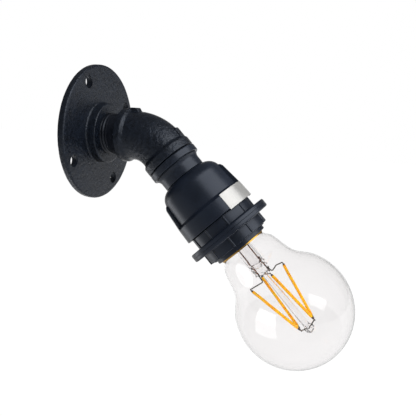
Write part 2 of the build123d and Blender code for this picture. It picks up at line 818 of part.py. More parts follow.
# Lead-in wires: up the stem, one to each cross wire
wire_radius = wire_diameter / 2
stem_angle = first_filament_angle
low_wire_angle = first_filament_angle + 90
first_lead_points = [
    lamp_point(stem_angle, lead_in_offset, lead_in_start_at),
    lamp_point(stem_angle, lead_in_offset, cross_wire_high_at - wire_diameter - seat_gap),
]
second_lead_points = [
    lamp_point(stem_angle + 180, lead_in_offset, lead_in_start_at),
    lamp_point(stem_angle + 180, lead_in_offset, pinch_end_at),
]
with BuildPart() as lead_in_wires:
    for start, end in (first_lead_points, second_lead_points):
        with BuildSketch(plane_towards(start, end)):
            Circle(wire_radius)
        extrude(amount=(end - start).length)
lead_in_wires.part.label = "lead_in_wires"
export_step(lead_in_wires.part, "parts/lead_in_wires.step")

# Cross wires: two straight wires through the glass rod, each carrying two filament tops
filament_circle_radius = filament_circle_diameter / 2
with BuildPart() as cross_wires:
    for wire_angle, wire_at in (
        (first_filament_angle, cross_wire_high_at),
        (low_wire_angle, cross_wire_low_at),
    ):
        start = lamp_point(wire_angle + 180, filament_circle_radius + wire_radius, wire_at)
        end = lamp_point(wire_angle, filament_circle_radius + wire_radius, wire_at)
        with BuildSketch(plane_towards(start, end)):
            Circle(wire_radius)
        extrude(amount=(end - start).length)
cross_wires.part.label = "cross_wires"
export_step(cross_wires.part, "parts/cross_wires.step")

# Foot links: at each side, a short wire that joins two filament feet, held by the glass button
filament_feet = [
    lamp_point(right_angle, right_foot_offset, filament_foot_at)
    + (lamp_point(front_angle, -foot_spread, 0) - elbow_centre),
    lamp_point(right_angle, right_foot_offset, filament_foot_at)
    + (lamp_point(front_angle, foot_spread, 0) - elbow_centre),
    lamp_point(left_angle, left_foot_offset, filament_foot_at)
    + (lamp_point(front_angle, foot_spread, 0) - elbow_centre),
    lamp_point(left_angle, left_foot_offset, filament_foot_at)
    + (lamp_point(front_angle, -foot_spread, 0) - elbow_centre),
]
button_centre = lamp_point(0, 0, button_at)
with BuildPart() as foot_links:
    for first_foot, second_foot in (filament_feet[:2], filament_feet[2:]):
        middle_foot = (first_foot + second_foot) * 0.5
        with BuildSketch(plane_towards(first_foot, second_foot)):
            Circle(wire_radius)
        extrude(amount=(second_foot - first_foot).length)
        arm = middle_foot - button_centre
        arm_start = button_centre + arm.normalized() * (rod_diameter / 4)
        with BuildSketch(plane_towards(arm_start, middle_foot)):
            Circle(wire_radius)
        extrude(amount=(middle_foot - arm_start).length)
foot_links.part.label = "foot_links"
export_step(foot_links.part, "parts/foot_links.step")

# Glass stem: a flared tube pinched round the wires, a solid rod and a button at its end
flare_radius = flare_diameter / 2
stem_radius = stem_diameter / 2
stem_bore = stem_radius - stem_wall
button_radius = button_diameter / 2
with BuildPart() as glass_stem:
    with BuildSketch(lamp_section()):
        with BuildLine():
            Line((flare_radius, flare_start_at), (flare_radius, flare_start_at + flare_rim))
            Spline(
                (flare_radius, flare_start_at + flare_rim),
                (stem_radius, stem_start_at),
                tangents=((-1, 0.2), (0, 1)),
            )
            Line((stem_radius, stem_start_at), (stem_radius, pinch_start_at))
            Line((stem_radius, pinch_start_at), (0, pinch_start_at))
            Line((0, pinch_start_at), (0, pinch_start_at - stem_wall))
            Line((0, pinch_start_at - stem_wall), (stem_bore, pinch_start_at - stem_wall))
            Line((stem_bore, pinch_start_at - stem_wall), (stem_bore, stem_start_at))
            Spline(
                (stem_bore, stem_start_at),
                (flare_radius - flare_rim, flare_start_at),
                tangents=((0, -1), (1, -0.2)),
            )
            Line((flare_radius - flare_rim, flare_start_at), (flare_radius, flare_start_at))
        make_face()
    revolve(axis=lamp_axis)
    with BuildSketch(Plane(lamp.offset(pinch_start_at - stem_wall).origin,
                           x_dir=lamp_section(stem_angle).x_dir, z_dir=lamp_direction)):
        RectangleRounded(pinch_width, pinch_thickness, pinch_edge_radius)
    extrude(amount=pinch_end_at - pinch_start_at + stem_wall)
    with BuildSketch(lamp.offset(pinch_end_at)):
        Circle(rod_diameter / 2)
    extrude(amount=button_at - pinch_end_at)
    with BuildSketch(lamp_section()):
        with BuildLine():
            CenterArc((0, button_at), button_radius, -90, 180)
            Line((0, button_at + button_radius), (0, button_at - button_radius))
        make_face()
    revolve(axis=lamp_axis)
    add(lead_in_wires.part, mode=Mode.SUBTRACT)
    add(cross_wires.part, mode=Mode.SUBTRACT)
    add(foot_links.part, mode=Mode.SUBTRACT)
glass_stem.part.label = "glass_stem"
export_step(glass_stem.part, "parts/glass_stem.step")

# Filaments: four straight coated rods with bare metal tips, leaning in towards their feet
filament_tops = []
for filament in range(filament_count):
    top_at = cross_wire_low_at if filament % 2 else cross_wire_high_at
    top_angle = first_filament_angle + filament * 360 / filament_count
    filament_tops.append(lamp_point(top_angle, filament_circle_radius, top_at))
for number, (top, foot) in enumerate(zip(filament_tops, filament_feet), start=1):
    along = (foot - top).normalized()
    tip_start = top + along * (wire_radius + seat_gap)
    tip_length = (foot - top).length - 2 * (wire_radius + seat_gap)
    with BuildPart() as filament:
        with BuildSketch(plane_towards(tip_start, foot)):
            Circle(filament_tip_diameter / 2)
        extrude(amount=tip_length)
        with BuildSketch(plane_towards(tip_start, foot).offset(filament_tip_length)):
            Circle(filament_diameter / 2)
        extrude(amount=tip_length - 2 * filament_tip_length)
    filament.part.label = f"filament_{number}"
    export_step(filament.part, f"parts/filament_{number}.step")
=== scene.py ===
# %% [markdown]
# # A wall light of pipe fittings
# This notebook dresses the engineering model of a small wall light: a cast flange, a pipe nipple,
# a 45 degree elbow, a lamp holder with two shade rings and a clear filament lamp. The engineering
# model says where everything is and how it moves, and it is never changed here. Each step first
# says what a piece is on the real light and how it could be made, and then makes it.

# %% [markdown]
# ## The frame
# The imported model is loaded once. Its bodies are what moves, its nodes are the solids, and its
# joints give the two axes that matter: the nipple's, straight out of the wall, and the lamp's.
# Reading them from the frame keeps every piece in place if the model is ever made again.

# %% Load the frame
import json
from math import asin, cos, hypot, pi, radians, sin, tan

import bmesh
import bpy
from mathutils import Matrix, Vector


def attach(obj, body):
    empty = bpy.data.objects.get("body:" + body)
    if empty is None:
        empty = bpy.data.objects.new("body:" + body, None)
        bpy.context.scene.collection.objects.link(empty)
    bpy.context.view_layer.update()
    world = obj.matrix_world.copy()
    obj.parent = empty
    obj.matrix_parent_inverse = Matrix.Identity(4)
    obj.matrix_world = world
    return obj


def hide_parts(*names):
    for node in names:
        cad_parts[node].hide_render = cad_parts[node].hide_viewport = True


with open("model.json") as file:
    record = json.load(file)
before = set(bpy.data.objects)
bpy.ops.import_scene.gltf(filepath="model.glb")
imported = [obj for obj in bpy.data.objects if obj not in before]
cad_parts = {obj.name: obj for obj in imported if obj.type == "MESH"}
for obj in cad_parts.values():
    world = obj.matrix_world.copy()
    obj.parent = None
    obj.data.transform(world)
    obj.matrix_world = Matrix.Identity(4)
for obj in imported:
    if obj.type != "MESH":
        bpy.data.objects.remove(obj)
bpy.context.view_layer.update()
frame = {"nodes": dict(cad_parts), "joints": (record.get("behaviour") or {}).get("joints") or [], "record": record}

# %% [markdown]
# ## Two working frames
# Sizes are in millimetres and become metres only when a mesh is made. Nearly every piece is turned
# about one of two axes, so a piece is drawn in a frame whose third direction is its axis: x is the
# world's X, and "at" is the distance along the axis, from the wall or from the elbow's centre.

# %% The wall's frame and the lamp's frame
MM = 0.001
joints = {joint["name"]: joint for joint in frame["joints"]}
elbow_centre = Vector(joints["holder_turn"]["pos_m"]) / MM
lamp_direction = Vector(joints["holder_turn"]["axis"]).normalized()
wall_direction = Vector(joints["elbow_turn"]["axis"]).normalized()


def axis_frame(origin, direction):
    """The matrix from (x, y, distance along the axis) to the light's own frame, in millimetres."""
    across = Vector((1, 0, 0))
    matrix = Matrix((across, direction.cross(across), direction)).transposed().to_4x4()
    matrix.translation = origin
    return matrix


wall = axis_frame(Vector((0, 0, 0)), wall_direction)
lamp = axis_frame(elbow_centre, lamp_direction)
print("lamp axis:", [round(part, 3) for part in lamp_direction])

# %% [markdown]
# The radii and ends of the solids are measured from the frame too: the farthest a node reaches
# from its axis, and where it starts and ends along it.


# %% Measure a node about an axis
def measured(node, place):
    """(start, end, largest radius) of a CAD node about the axis of a frame, in millimetres."""
    back = place.inverted()
    points = [back @ (vertex.co / MM) for vertex in frame["nodes"][node].data.vertices]
    heights = [point.z for point in points]
    return min(heights), max(heights), max(hypot(point.x, point.y) for point in points)


_, hub_front, flange_radius = measured("wall_flange", wall)
globe_start, globe_end, globe_radius = measured("lamp_glass", lamp)
print(f"flange radius {flange_radius:.1f} mm, globe radius {globe_radius:.1f} mm")

# %% [markdown]
# ## Colours and nodes
# Colours are written as sRGB hex, the numbers a colour picker shows, and turned to the linear
# values that Blender works in. One function adds a node to a shader tree or a geometry tree: an
# input that is given a socket is linked to it, and any other input gets a plain value. Three
# small functions on top of it make the nodes that come up again and again: a sum, a range that is
# moved to another range, and a choice between two levels.


# %% One colour function and the node functions
def colour(code):
    """An sRGB hex code as a linear RGBA tuple."""
    parts = [int(code[place:place + 2], 16) / 255 for place in (1, 3, 5)]
    return (*[part / 12.92 if part <= 0.04045 else ((part + 0.055) / 1.055) ** 2.4
              for part in parts], 1.0)


def add(tree, kind, inputs=None, **settings):
    """Add a node with its settings, and link or set its inputs."""
    node = tree.nodes.new(kind)
    for name, value in settings.items():
        setattr(node, name, value)
    for key, value in (inputs or {}).items():
        if isinstance(value, bpy.types.NodeSocket):
            tree.links.new(value, node.inputs[key])
        else:
            node.inputs[key].default_value = value
    return node


def maths(tree, operation, *values):
    """The result of a sum on numbers or sockets."""
    return add(tree, "ShaderNodeMath", dict(enumerate(values)), operation=operation).outputs[0]


def ranged(tree, value, start, end, low=0.0, high=1.0):
    """A value moved from start..end to low..high, and held there."""
    return add(tree, "ShaderNodeMapRange", {
        "Value": value, "From Min": start, "From Max": end, "To Min": low,
        "To Max": high}).outputs[0]


def chosen(tree, switch, off, on):
    """One level where the switch is 0, and another where it is 1."""
    return add(tree, "ShaderNodeMix", {0: switch, 2: off, 3: on}, data_type="FLOAT").outputs[0]


print("black paint is", [round(part, 4) for part in colour("#1B1E24")])

# %% [markdown]
# ## A surface with a grain
# Every finish on this light varies a little: in colour, in gloss and in height. This function
# makes the common part once. A noise of a real size in millimetres mixes two colours, moves the
# roughness between two values and lifts the surface by a real height through a Bump node. Object
# coordinates are in metres, so a noise whose lumps are one grain wide has a scale of 1 / grain.


# %% The common surface
def lumps(tree, size, detail, roughness=0.5):
    """A noise over the piece, with lumps of a size in millimetres."""
    return add(tree, "ShaderNodeTexNoise", {
        "Vector": add(tree, "ShaderNodeTexCoord").outputs["Object"], "Scale": 1 / (size * MM),
        "Detail": detail, "Roughness": roughness}).outputs[0]


def new_material(name):
    """A material with nodes. Returns it, its tree and its shader."""
    material = bpy.data.materials.new(name)
    material.use_nodes = True
    return material, material.node_tree, material.node_tree.nodes["Principled BSDF"]


def surface(name, dark, light, grain, rough, lift, blotch=8.0, spread=0.3, **sockets):
    """A material whose colour, roughness and height vary. Sizes are in millimetres."""
    material, tree, shader = new_material(name)
    grains = lumps(tree, grain, 4.0, 0.55)
    share = ranged(tree, maths(tree, "ADD", grains, lumps(tree, blotch, 3.0)), 1 - spread,
                   1 + spread)
    paint = add(tree, "ShaderNodeMix", {0: share, 6: colour(dark), 7: colour(light)},
                data_type="RGBA")
    bump = add(tree, "ShaderNodeBump", {"Height": grains, "Distance": lift * MM, "Strength": 1.0})
    tree.links.new(paint.outputs[2], shader.inputs["Base Color"])
    tree.links.new(ranged(tree, share, 0.0, 1.0, *rough), shader.inputs["Roughness"])
    tree.links.new(bump.outputs[0], shader.inputs["Normal"])
    for socket, value in sockets.items():
        shader.inputs[socket.replace("_", " ")].default_value = value
    return material


# %% [markdown]
# ## Black sand-cast iron
# The flange and the elbow are malleable iron, cast in sand and dipped in a blue-black paint. The
# sand leaves a grain of about half a millimetre, the paint fills its bottom and shines on its
# tops. Glints that fine average out in a picture of this size, so the grain here is three times
# as coarse, and its bump is strong. A second, slower noise gives the gentle unevenness of the
# casting. All the black finishes share a sheen that is slightly blue.

# %% Black sand-cast iron
blue_sheen = {"Specular_Tint": colour("#E6EFFF")}
cast_iron = surface("cast_iron_black_paint", "#06080D", "#131923", grain=1.5, rough=(0.25, 0.36),
                    lift=0.46, blotch=2.6, spread=0.40, **blue_sheen)
print(cast_iron.name, "uses", len(cast_iron.node_tree.nodes), "nodes")

# %% [markdown]
# ## Black pipe and black lacquered steel
# The nipple is drawn steel pipe with a thin black lacquer: nearly smooth, with a faint unevenness
# along it. The adaptor is turned steel under the same lacquer, a little glossier.

# %% Pipe and lacquered steel
pipe_lacquer = surface("drawn_pipe_black_lacquer", "#080A0F", "#12151D", grain=2.2,
                       rough=(0.30, 0.42), lift=0.03, blotch=12.0, **blue_sheen)
turned_lacquer = surface("turned_steel_black_lacquer", "#0D1119", "#1A202B", grain=1.2,
                         rough=(0.28, 0.38), lift=0.02, blotch=10.0, **blue_sheen)
print("two lacquers made")

# %% [markdown]
# ## Moulded black thermoplastic
# The holder's cap, its shell and the rings are moulded in a glass-filled black plastic with a satin
# mould finish. Its colour is even, so what the eye sees is the width of the highlight. A very
# shallow fine grain breaks it up, and a slow variation keeps large faces from looking computed.

# %% Moulded thermoplastic
moulded_plastic = surface("moulded_thermoplastic_satin_black", "#0C111A", "#161D2A", grain=0.35,
                          rough=(0.30, 0.38), lift=0.012, blotch=14.0, **blue_sheen)
print("plastic:", moulded_plastic.name)

# %% [markdown]
# ## Foil label
# The label on the cap's band is a silver polyester foil. It is left blank. It reflects the room in
# a soft smear, lighter where it faces the window and grey where it turns away.

# %% Silver foil
silver_foil = surface("polyester_foil_silver", "#ABABAA", "#BDBCB9", grain=0.5,
                      rough=(0.32, 0.42), lift=0.008, blotch=9.0, Metallic=0.6)
print("foil:", silver_foil.name)

# %% [markdown]
# ## Metals inside and on the lamp
# The lamp's screw shell is thin brass, rolled and slightly tarnished. The contacts and terminals
# are plain stamped brass, the lock nut and the screws are zinc plated, and the lamp's end contact
# is a drop of solder. In the glass, the two lead-ins are nickel-iron wire in a copper skin, which
# seals to glass, and the wires that they carry are nickel plated. The bare tips of the filaments
# are steel strip, annealed until its skin is dark. Each keeps the default IOR.

# %% Metals
# Each row: name, dark and light colour, grain, least and most roughness, lift, blotch.
lamp_brass, contact_brass, zinc_plate, solder, nickel_wire, copper_clad_wire = [
    surface(*row, Metallic=1.0) for row in (
        ("rolled_brass_lightly_tarnished", "#B98A35", "#D6AC58", 0.9, (0.20, 0.34), 0.01, 7.0),
        ("stamped_brass", "#C09B4E", "#D9BC76", 0.6, (0.24, 0.36), 0.01),
        ("zinc_plated_steel", "#A9AEB4", "#C6CACE", 0.5, (0.28, 0.42), 0.012),
        ("solder_drop", "#A8AAAD", "#C0C2C4", 1.4, (0.30, 0.48), 0.05),
        ("nickel_plated_wire", "#7B7670", "#A29C94", 0.4, (0.24, 0.38), 0.008),
        ("copper_clad_nickel_iron_wire", "#6E3F2A", "#93603F", 0.4, (0.26, 0.40), 0.008))]
dark_tip = surface("annealed_steel_strip_dark", "#33200F", "#5A3A1E", 0.4, (0.34, 0.46), 0.01)
print("six metals and a dark steel made")

# %% [markdown]
# ## Insulators and the lead
# The contact insert is a white thermoset moulding, slightly yellow and waxy. The lamp's insulator
# is fused black glass, with a gloss like obsidian. The lead's sheath and its two cores are PVC in
# the fixed colours for line and neutral.

# %% Insulators and PVC
white_thermoset, black_glass, sheath_pvc, brown_pvc, blue_pvc = [surface(*row) for row in (
    ("moulded_thermoset_white", "#DDD8CC", "#EFEBE1", 0.8, (0.38, 0.50), 0.015),
    ("fused_glass_black", "#08080A", "#121216", 1.5, (0.08, 0.16), 0.02),
    ("extruded_pvc_white", "#D9D9D6", "#E8E8E5", 1.0, (0.40, 0.50), 0.012),
    ("extruded_pvc_brown", "#4A2A18", "#5B3520", 0.8, (0.36, 0.46), 0.01),
    ("extruded_pvc_blue", "#1E56A0", "#2B66B2", 0.8, (0.36, 0.46), 0.01))]
print("insulators made")

# %% [markdown]
# ## Lamp glass
# The bulb is blown soda-lime glass, under a millimetre thick and clear. Glass is a clear body with
# smooth faces: full transmission, no roughness and an IOR of 1.5. Blown glass is never quite even,
# so a very long, shallow wave bends its reflections a little. The stem inside is the same glass.

# %% Clear glass
clear_glass, glass_tree, glass_shader = new_material("blown_soda_lime_glass_clear")
glass_bump = add(glass_tree, "ShaderNodeBump", {
    "Height": lumps(glass_tree, 14, 1.0), "Distance": 0.04 * MM, "Strength": 0.35})
glass_tree.links.new(glass_bump.outputs[0], glass_shader.inputs["Normal"])
for socket, value in (("Base Color", colour("#FCFBFB")), ("Roughness", 0.0), ("IOR", 1.5),
                      ("Transmission Weight", 1.0)):
    glass_shader.inputs[socket].default_value = value
print("glass IOR:", glass_shader.inputs["IOR"].default_value)

# %% [markdown]
# ## Filament phosphor
# Each filament is a row of small blue light sources on a strip, under a coat of silicone with
# yellow phosphor. Unlit, the coat looks like amber rubber: saturated orange-yellow, slightly
# translucent, with a fine uneven skin.

# %% Phosphor coat
phosphor = surface("phosphor_silicone_amber", "#FFA200", "#FFC60C", grain=1.1,
                   rough=(0.42, 0.54), lift=0.02, blotch=4.0, Subsurface_Weight=0.20,
                   Subsurface_Scale=0.0008, Specular_IOR_Level=0.25)
print("phosphor made")

# %% [markdown]
# ## Outlines
# A turned piece is an outline of (radius, distance) points, swung round its axis. Real edges are
# never sharp, so a corner may name a rounding. Straight runs also get a point near each end: a
# smooth-shaded mesh spreads each vertex's normal over its faces, and the extra points hold that
# spread to a narrow strip beside the rounding.


# %% Round the corners of an outline
def rounded_outline(corners):
    """A closed outline. Each corner is (radius, at), or (radius, at, rounding)."""
    rounded = []
    for index, corner in enumerate(corners):
        here = Vector(corner[:2])
        rounding = corner[2] if len(corner) > 2 else 0
        if not rounding:
            rounded.append(here)
            continue
        to_last = (Vector(corners[index - 1][:2]) - here).normalized()
        to_next = (Vector(corners[(index + 1) % len(corners)][:2]) - here).normalized()
        half = to_last.angle(to_next) / 2
        centre = here + (to_last + to_next).normalized() * rounding / sin(half)
        first = here + to_last * rounding / tan(half) - centre
        last = here + to_next * rounding / tan(half) - centre
        arc_steps = max(5, int(rounding * 3))
        for step in range(arc_steps + 1):
            way = first.normalized().slerp(last.normalized(), step / arc_steps)
            rounded.append(centre + way.normalized() * rounding)
    held, strip = [], 0.25
    for index, here in enumerate(rounded):
        following = rounded[(index + 1) % len(rounded)]
        run = (following - here).length
        held.append(here)
        if run > 1.0 and here.x > 0 and following.x > 0:
            held += [here.lerp(following, strip / run), here.lerp(following, 1 - strip / run)]
    return held


rounded_square = rounded_outline([(1, 0, .2), (2, 0, .2), (2, 1, .2), (1, 1, .2)])
print("a rounded square has", len(rounded_square), "points")

# %% [markdown]
# ## Turning
# The outline is copied at every angle and neighbouring copies are joined by faces. A shape
# function may change the radius with the angle, which is all that a screw thread or a pad on the
# side of a dome needs. Points on the axis are merged into one, which closes the poles.


# %% Make an object from a mesh under construction
def put(name, data):
    """A new object with this data, in the scene."""
    thing = bpy.data.objects.new(name, data)
    bpy.context.scene.collection.objects.link(thing)
    return thing


def shade(mesh):
    """Shade a mesh smooth, and keep the edges sharp that turn by more than 38 degrees."""
    mesh.shade_smooth()
    mesh.set_sharp_from_angle(angle=radians(38))


def finished(name, construction):
    """Close, orient and smooth a mesh, and put it in the scene at the origin."""
    bmesh.ops.remove_doubles(construction, verts=construction.verts, dist=0.0001 * MM)
    bare = [edge for edge in construction.edges if not edge.link_faces]
    bmesh.ops.delete(construction, geom=bare, context="EDGES")
    bmesh.ops.recalc_face_normals(construction, faces=construction.faces)
    mesh = bpy.data.meshes.new(name)
    construction.to_mesh(mesh)
    construction.free()
    shade(mesh)
    return put(name, mesh)


# %% Turn an outline about an axis
def turned(name, outline, place, angles, shape=None, whole=True):
    """A closed turned mesh. Angles are a count of even steps, or a list in degrees."""
    if isinstance(angles, int):
        angles = [360 * step / angles for step in range(angles)]
    construction = bmesh.new()
    rows = []
    for angle in angles:
        row = []
        for radius, at in outline:
            reach = shape(angle, radius, at) if shape else radius
            point = Vector((reach * cos(radians(angle)), reach * sin(radians(angle)), at))
            row.append(construction.verts.new(place @ point * MM))
        rows.append(row)
    for here, following in zip(rows, rows[1:] + rows[:1] if whole else rows[1:]):
        for low in range(len(outline)):
            high = (low + 1) % len(outline)
            construction.faces.new((here[low], following[low], following[high], here[high]))
    if not whole:
        construction.faces.new(rows[0])
        construction.faces.new(rows[-1])
    return finished(name, construction)


# %% [markdown]
# ## Geometry Nodes, then a plain mesh
# A tree of Geometry Nodes is built once and run with different sizes. Its inputs have names, but a
# modifier stores them by the socket's identifier, so they are looked up. The result is read back
# as a plain mesh, and the modifier is taken off again. The elbow, the ribs, the filaments and the
# wires are all round tubes on a line, so the sweep of a circle along a line is a function too.


# %% Build a tree and run it
def geometry_tree(name, **inputs):
    """A tree with named inputs. Returns the tree and its inputs."""
    tree = bpy.data.node_groups.new(name, "GeometryNodeTree")
    tree.interface.new_socket("Geometry", in_out="INPUT", socket_type="NodeSocketGeometry")
    for label, kind in inputs.items():
        tree.interface.new_socket(label.replace("_", " "), in_out="INPUT",
                                  socket_type="NodeSocket" + kind)
    tree.interface.new_socket("Geometry", in_out="OUTPUT", socket_type="NodeSocketGeometry")
    return tree, add(tree, "NodeGroupInput").outputs


def end_tree(tree, geometry):
    """Every tree ends by making its instances real."""
    real = add(tree, "GeometryNodeRealizeInstances", {0: geometry})
    add(tree, "NodeGroupOutput", {0: real.outputs[0]})


def swept(tree, curve, sides, radius, **more):
    """A closed round tube along a curve."""
    ring = add(tree, "GeometryNodeCurvePrimitiveCircle", {"Resolution": sides, "Radius": radius})
    return add(tree, "GeometryNodeCurveToMesh", {
        "Curve": curve, "Profile Curve": ring.outputs[0], "Fill Caps": True, **more}).outputs[0]


def keep_result(piece):
    """Replace a piece's mesh by what its modifiers make of it, and take them off."""
    graph = bpy.context.evaluated_depsgraph_get()
    mesh = bpy.data.meshes.new_from_object(piece.evaluated_get(graph), depsgraph=graph)
    piece.modifiers.clear()
    piece.data = mesh
    mesh.name = piece.name
    return piece


def run_tree(piece, tree, **values):
    """Run a tree on a piece with the sizes given, and keep the result."""
    modifier = piece.modifiers.new(tree.name, "NODES")
    modifier.node_group = tree
    sockets = {item.name: item.identifier for item in tree.interface.items_tree
               if item.item_type == "SOCKET" and item.in_out == "INPUT"}
    for label, value in values.items():
        modifier[sockets[label.replace("_", " ")]] = value
    return keep_result(piece)


def grown(name, tree, **values):
    """A piece that comes from a tree alone."""
    piece = run_tree(put(name, bpy.data.meshes.new(name + "_start")), tree, **values)
    shade(piece.data)
    return piece


# %% [markdown]
# ## Dressing a piece
# One call says what every finished piece needs: the body it rides on, the solids it stands for
# and its material.


# %% Dress a piece
def dress(piece, body, material, slot, *nodes):
    """Ride on a body, stand for the nodes, and take the material."""
    piece.data.materials.clear()
    piece.data.materials.append(material)
    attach(piece, body)
    if nodes:
        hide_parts(*nodes)
    print(f"{piece.name}: {len(piece.data.polygons)} faces on {body}")


# %% [markdown]
# ## The casting's skin
# A casting has no sharp inside corner and no perfectly even face. Its parts are first melted into
# one skin by a voxel remesh, a few tenths of a millimetre fine, which also fuses the bands and
# lugs to the bend. A light smoothing rounds what the sand rounds. Then a tree pushes the skin
# inwards, never outwards, by two noises: slow lumps and sand grain. Machined holes are cut after
# it, because a drill comes after the casting, and their edges stay crisp.

# %% The skin's tree
skin_tree, skin = geometry_tree("cast_skin", Lump_Size="Float", Lump_Depth="Float",
                                Grain_Size="Float", Grain_Depth="Float", Seed="Float")
where = add(skin_tree, "GeometryNodeInputPosition").outputs[0]
outward = add(skin_tree, "GeometryNodeInputNormal").outputs[0]
pushes = []
for kind in ("Lump", "Grain"):
    noise = add(skin_tree, "ShaderNodeTexNoise", {
        "Vector": where, "W": skin["Seed"], "Detail": 2.0,
        "Scale": maths(skin_tree, "DIVIDE", 1.0, skin[kind + " Size"])}, noise_dimensions="4D")
    pushes.append(maths(skin_tree, "MULTIPLY", noise.outputs[0], skin[kind + " Depth"]))
inward = maths(skin_tree, "MULTIPLY", maths(skin_tree, "ADD", *pushes), -1.0)
shift = add(skin_tree, "ShaderNodeVectorMath", {0: outward, "Scale": inward}, operation="SCALE")
moved = add(skin_tree, "GeometryNodeSetPosition", {
    "Geometry": skin["Geometry"], "Offset": shift.outputs[0]})
end_tree(skin_tree, moved.outputs[0])


# %% Cast a piece, and drill it
def joined(name, *parts):
    """Several closed meshes as one object. The parts are removed."""
    construction = bmesh.new()
    for part in parts:
        construction.from_mesh(part.data)
        bpy.data.objects.remove(part)
    return finished(name, construction)


def cast(piece, voxel, seed, rounds=2, slow=(5.0, 0.10), grain=(1.4, 0.13)):
    """Melt a piece into one skin and give it the unevenness of sand. Sizes in millimetres."""
    melt = piece.modifiers.new("melt", "REMESH")
    melt.mode = "VOXEL"
    melt.voxel_size = voxel * MM
    smooth = piece.modifiers.new("soften", "SMOOTH")
    smooth.factor = 0.5
    smooth.iterations = rounds
    keep_result(piece)
    run_tree(piece, skin_tree, Lump_Size=slow[0] * MM, Lump_Depth=slow[1] * MM,
             Grain_Size=grain[0] * MM, Grain_Depth=grain[1] * MM, Seed=seed)
    piece.data.shade_smooth()
    return piece


def cut(piece, *cutters):
    """Cut closed meshes out of a piece, and remove them."""
    for cutter in cutters:
        boolean = piece.modifiers.new("cut", "BOOLEAN")
        boolean.operation = "DIFFERENCE"
        boolean.solver = "EXACT"
        boolean.object = cutter
    keep_result(piece)
    for cutter in cutters:
        bpy.data.objects.remove(cutter)
    shade(piece.data)


def rod(name, place, radius, start, end, steps=64):
    """A plain closed cylinder about a frame's axis, used to cut with."""
    return turned(name, [(0, start), (radius, start), (radius, end), (0, end)], place, steps)


# %% [markdown]
# ## Wall flange
# A disc with a hub, 71 mm across, cast and then drilled for four screws and threaded for the
# nipple. The turned blank is cast, and then the bore and the four holes are cut. The screw circle
# comes from the record's own mount, so the holes stay where the model has them.

# %% Wall flange
pipe_radius, blank_bore, flange_edge, hub_radius, flange_back = 10.65, 9.8, 3.8, 15.8, 0.1
bolts = next(mount for mount in frame["record"]["mounts"] if mount["name"] == "wall_screws")
screw_circle_radius, screw_radius = bolts["dims"]["pcd_mm"] / 2, bolts["dims"]["hole_r_mm"]
first_screw_angle, drill_run, tap_run = 25.0, (-1, 6), (-1, 12)
flange_blank = rounded_outline([
    (blank_bore, flange_back), (flange_radius, flange_back, 0.7),
    (flange_radius, flange_edge, 0.9), (hub_radius, flange_edge, 0.7),
    (hub_radius, hub_front, 0.5), (blank_bore, hub_front)])
flange = cast(turned("flange_casting", flange_blank, wall, 200), voxel=0.35, seed=3.0)
screw_cutters = []
for number in range(bolts["dims"]["count"]):
    turn = radians(first_screw_angle + number * 360 / bolts["dims"]["count"])
    spot = wall @ Matrix.Translation((screw_circle_radius * cos(turn),
                                      screw_circle_radius * sin(turn), 0))
    screw_cutters.append(rod("drill", spot, screw_radius, *drill_run, 48))
cut(flange, rod("tap", wall, pipe_radius + 0.06, *tap_run), *screw_cutters)
dress(flange, "wall_mount", cast_iron, "black_cast_iron", "wall_flange")

# %% [markdown]
# ## A screw thread
# A thread is a radius that rises and falls along the axis and slides by one pitch in each turn. So
# the shape function needs only the phase: the distance divided by the pitch, less the angle
# divided by a whole turn. Taking the angle away makes the thread right-handed. The same phase on
# the lamp and in the holder keeps the two threads in mesh in every pose.


# %% A thread as a shape function
def thread(pitch, low, high, start, end, fade, inner=None):
    """Radius between low and high along a right-handed helix, faded in and out at its ends."""
    def shape(angle, radius, at):
        if not start <= at <= end or (inner is not None and abs(radius - inner) > 0.05):
            return radius
        wave = 0.5 + 0.5 * cos(2 * pi * (at / pitch - angle / 360))
        ridge = low + (high - low) * wave
        strength = min(1.0, (at - start) / fade, (end - at) / fade)
        return radius + (ridge - radius) * strength
    return shape


def stepped(radius, start, end, step):
    """Points along a straight run, close enough together to carry a thread."""
    count = max(2, int(abs(end - start) / step))
    return [(radius, start + (end - start) * place / count) for place in range(count + 1)]


# %% [markdown]
# ## Pipe nipple
# A short half-inch pipe. Only its middle shows between the flange's hub and the elbow's band, where
# the last turns of its thread run out of the hub. Both ends are chamfered as a pipe cutter leaves
# them. Half-inch pipe has fourteen turns to the inch, which is a pitch of 1.814 mm.

# %% Pipe nipple
nipple_start, nipple_end, nipple_radius = measured("wall_nipple", wall)
pipe_pitch, pipe_bore, thread_depth = 1.814, 7.9, 0.5
run_out = (hub_front - 1.0, hub_front + 4.2)
nipple_thread = thread(pipe_pitch, nipple_radius - thread_depth, nipple_radius, *run_out,
                       fade=1.6, inner=nipple_radius)
nipple_ends = rounded_outline([
    (pipe_bore, nipple_start, 0.3), (nipple_radius, nipple_start, 0.5),
    (nipple_radius, nipple_end, 0.5), (pipe_bore, nipple_end, 0.3)])
wall_middle = (pipe_bore + nipple_radius) / 2
outside_ends = [point for point in nipple_ends if point.x > wall_middle]
nipple = turned("nipple", [point for point in outside_ends if point.y < run_out[0]]
                + stepped(nipple_radius, *run_out, 0.2)
                + [point for point in outside_ends if point.y > run_out[1]]
                + [point for point in nipple_ends if point.x <= wall_middle],
                wall, 128, shape=nipple_thread)
dress(nipple, "wall_mount", pipe_lacquer, "black_steel_pipe", "wall_nipple")

# %% [markdown]
# ## A tube on a route
# The elbow's body and its bore are one circle swept along the same bend: straight, an arc, and
# straight again. The wires in the lamp are the same thing on a smaller scale. So one tree serves
# them all. The route is given as the starting mesh, a line through a few points. It becomes a
# curve, its corners are filleted, and a circle is swept along it.

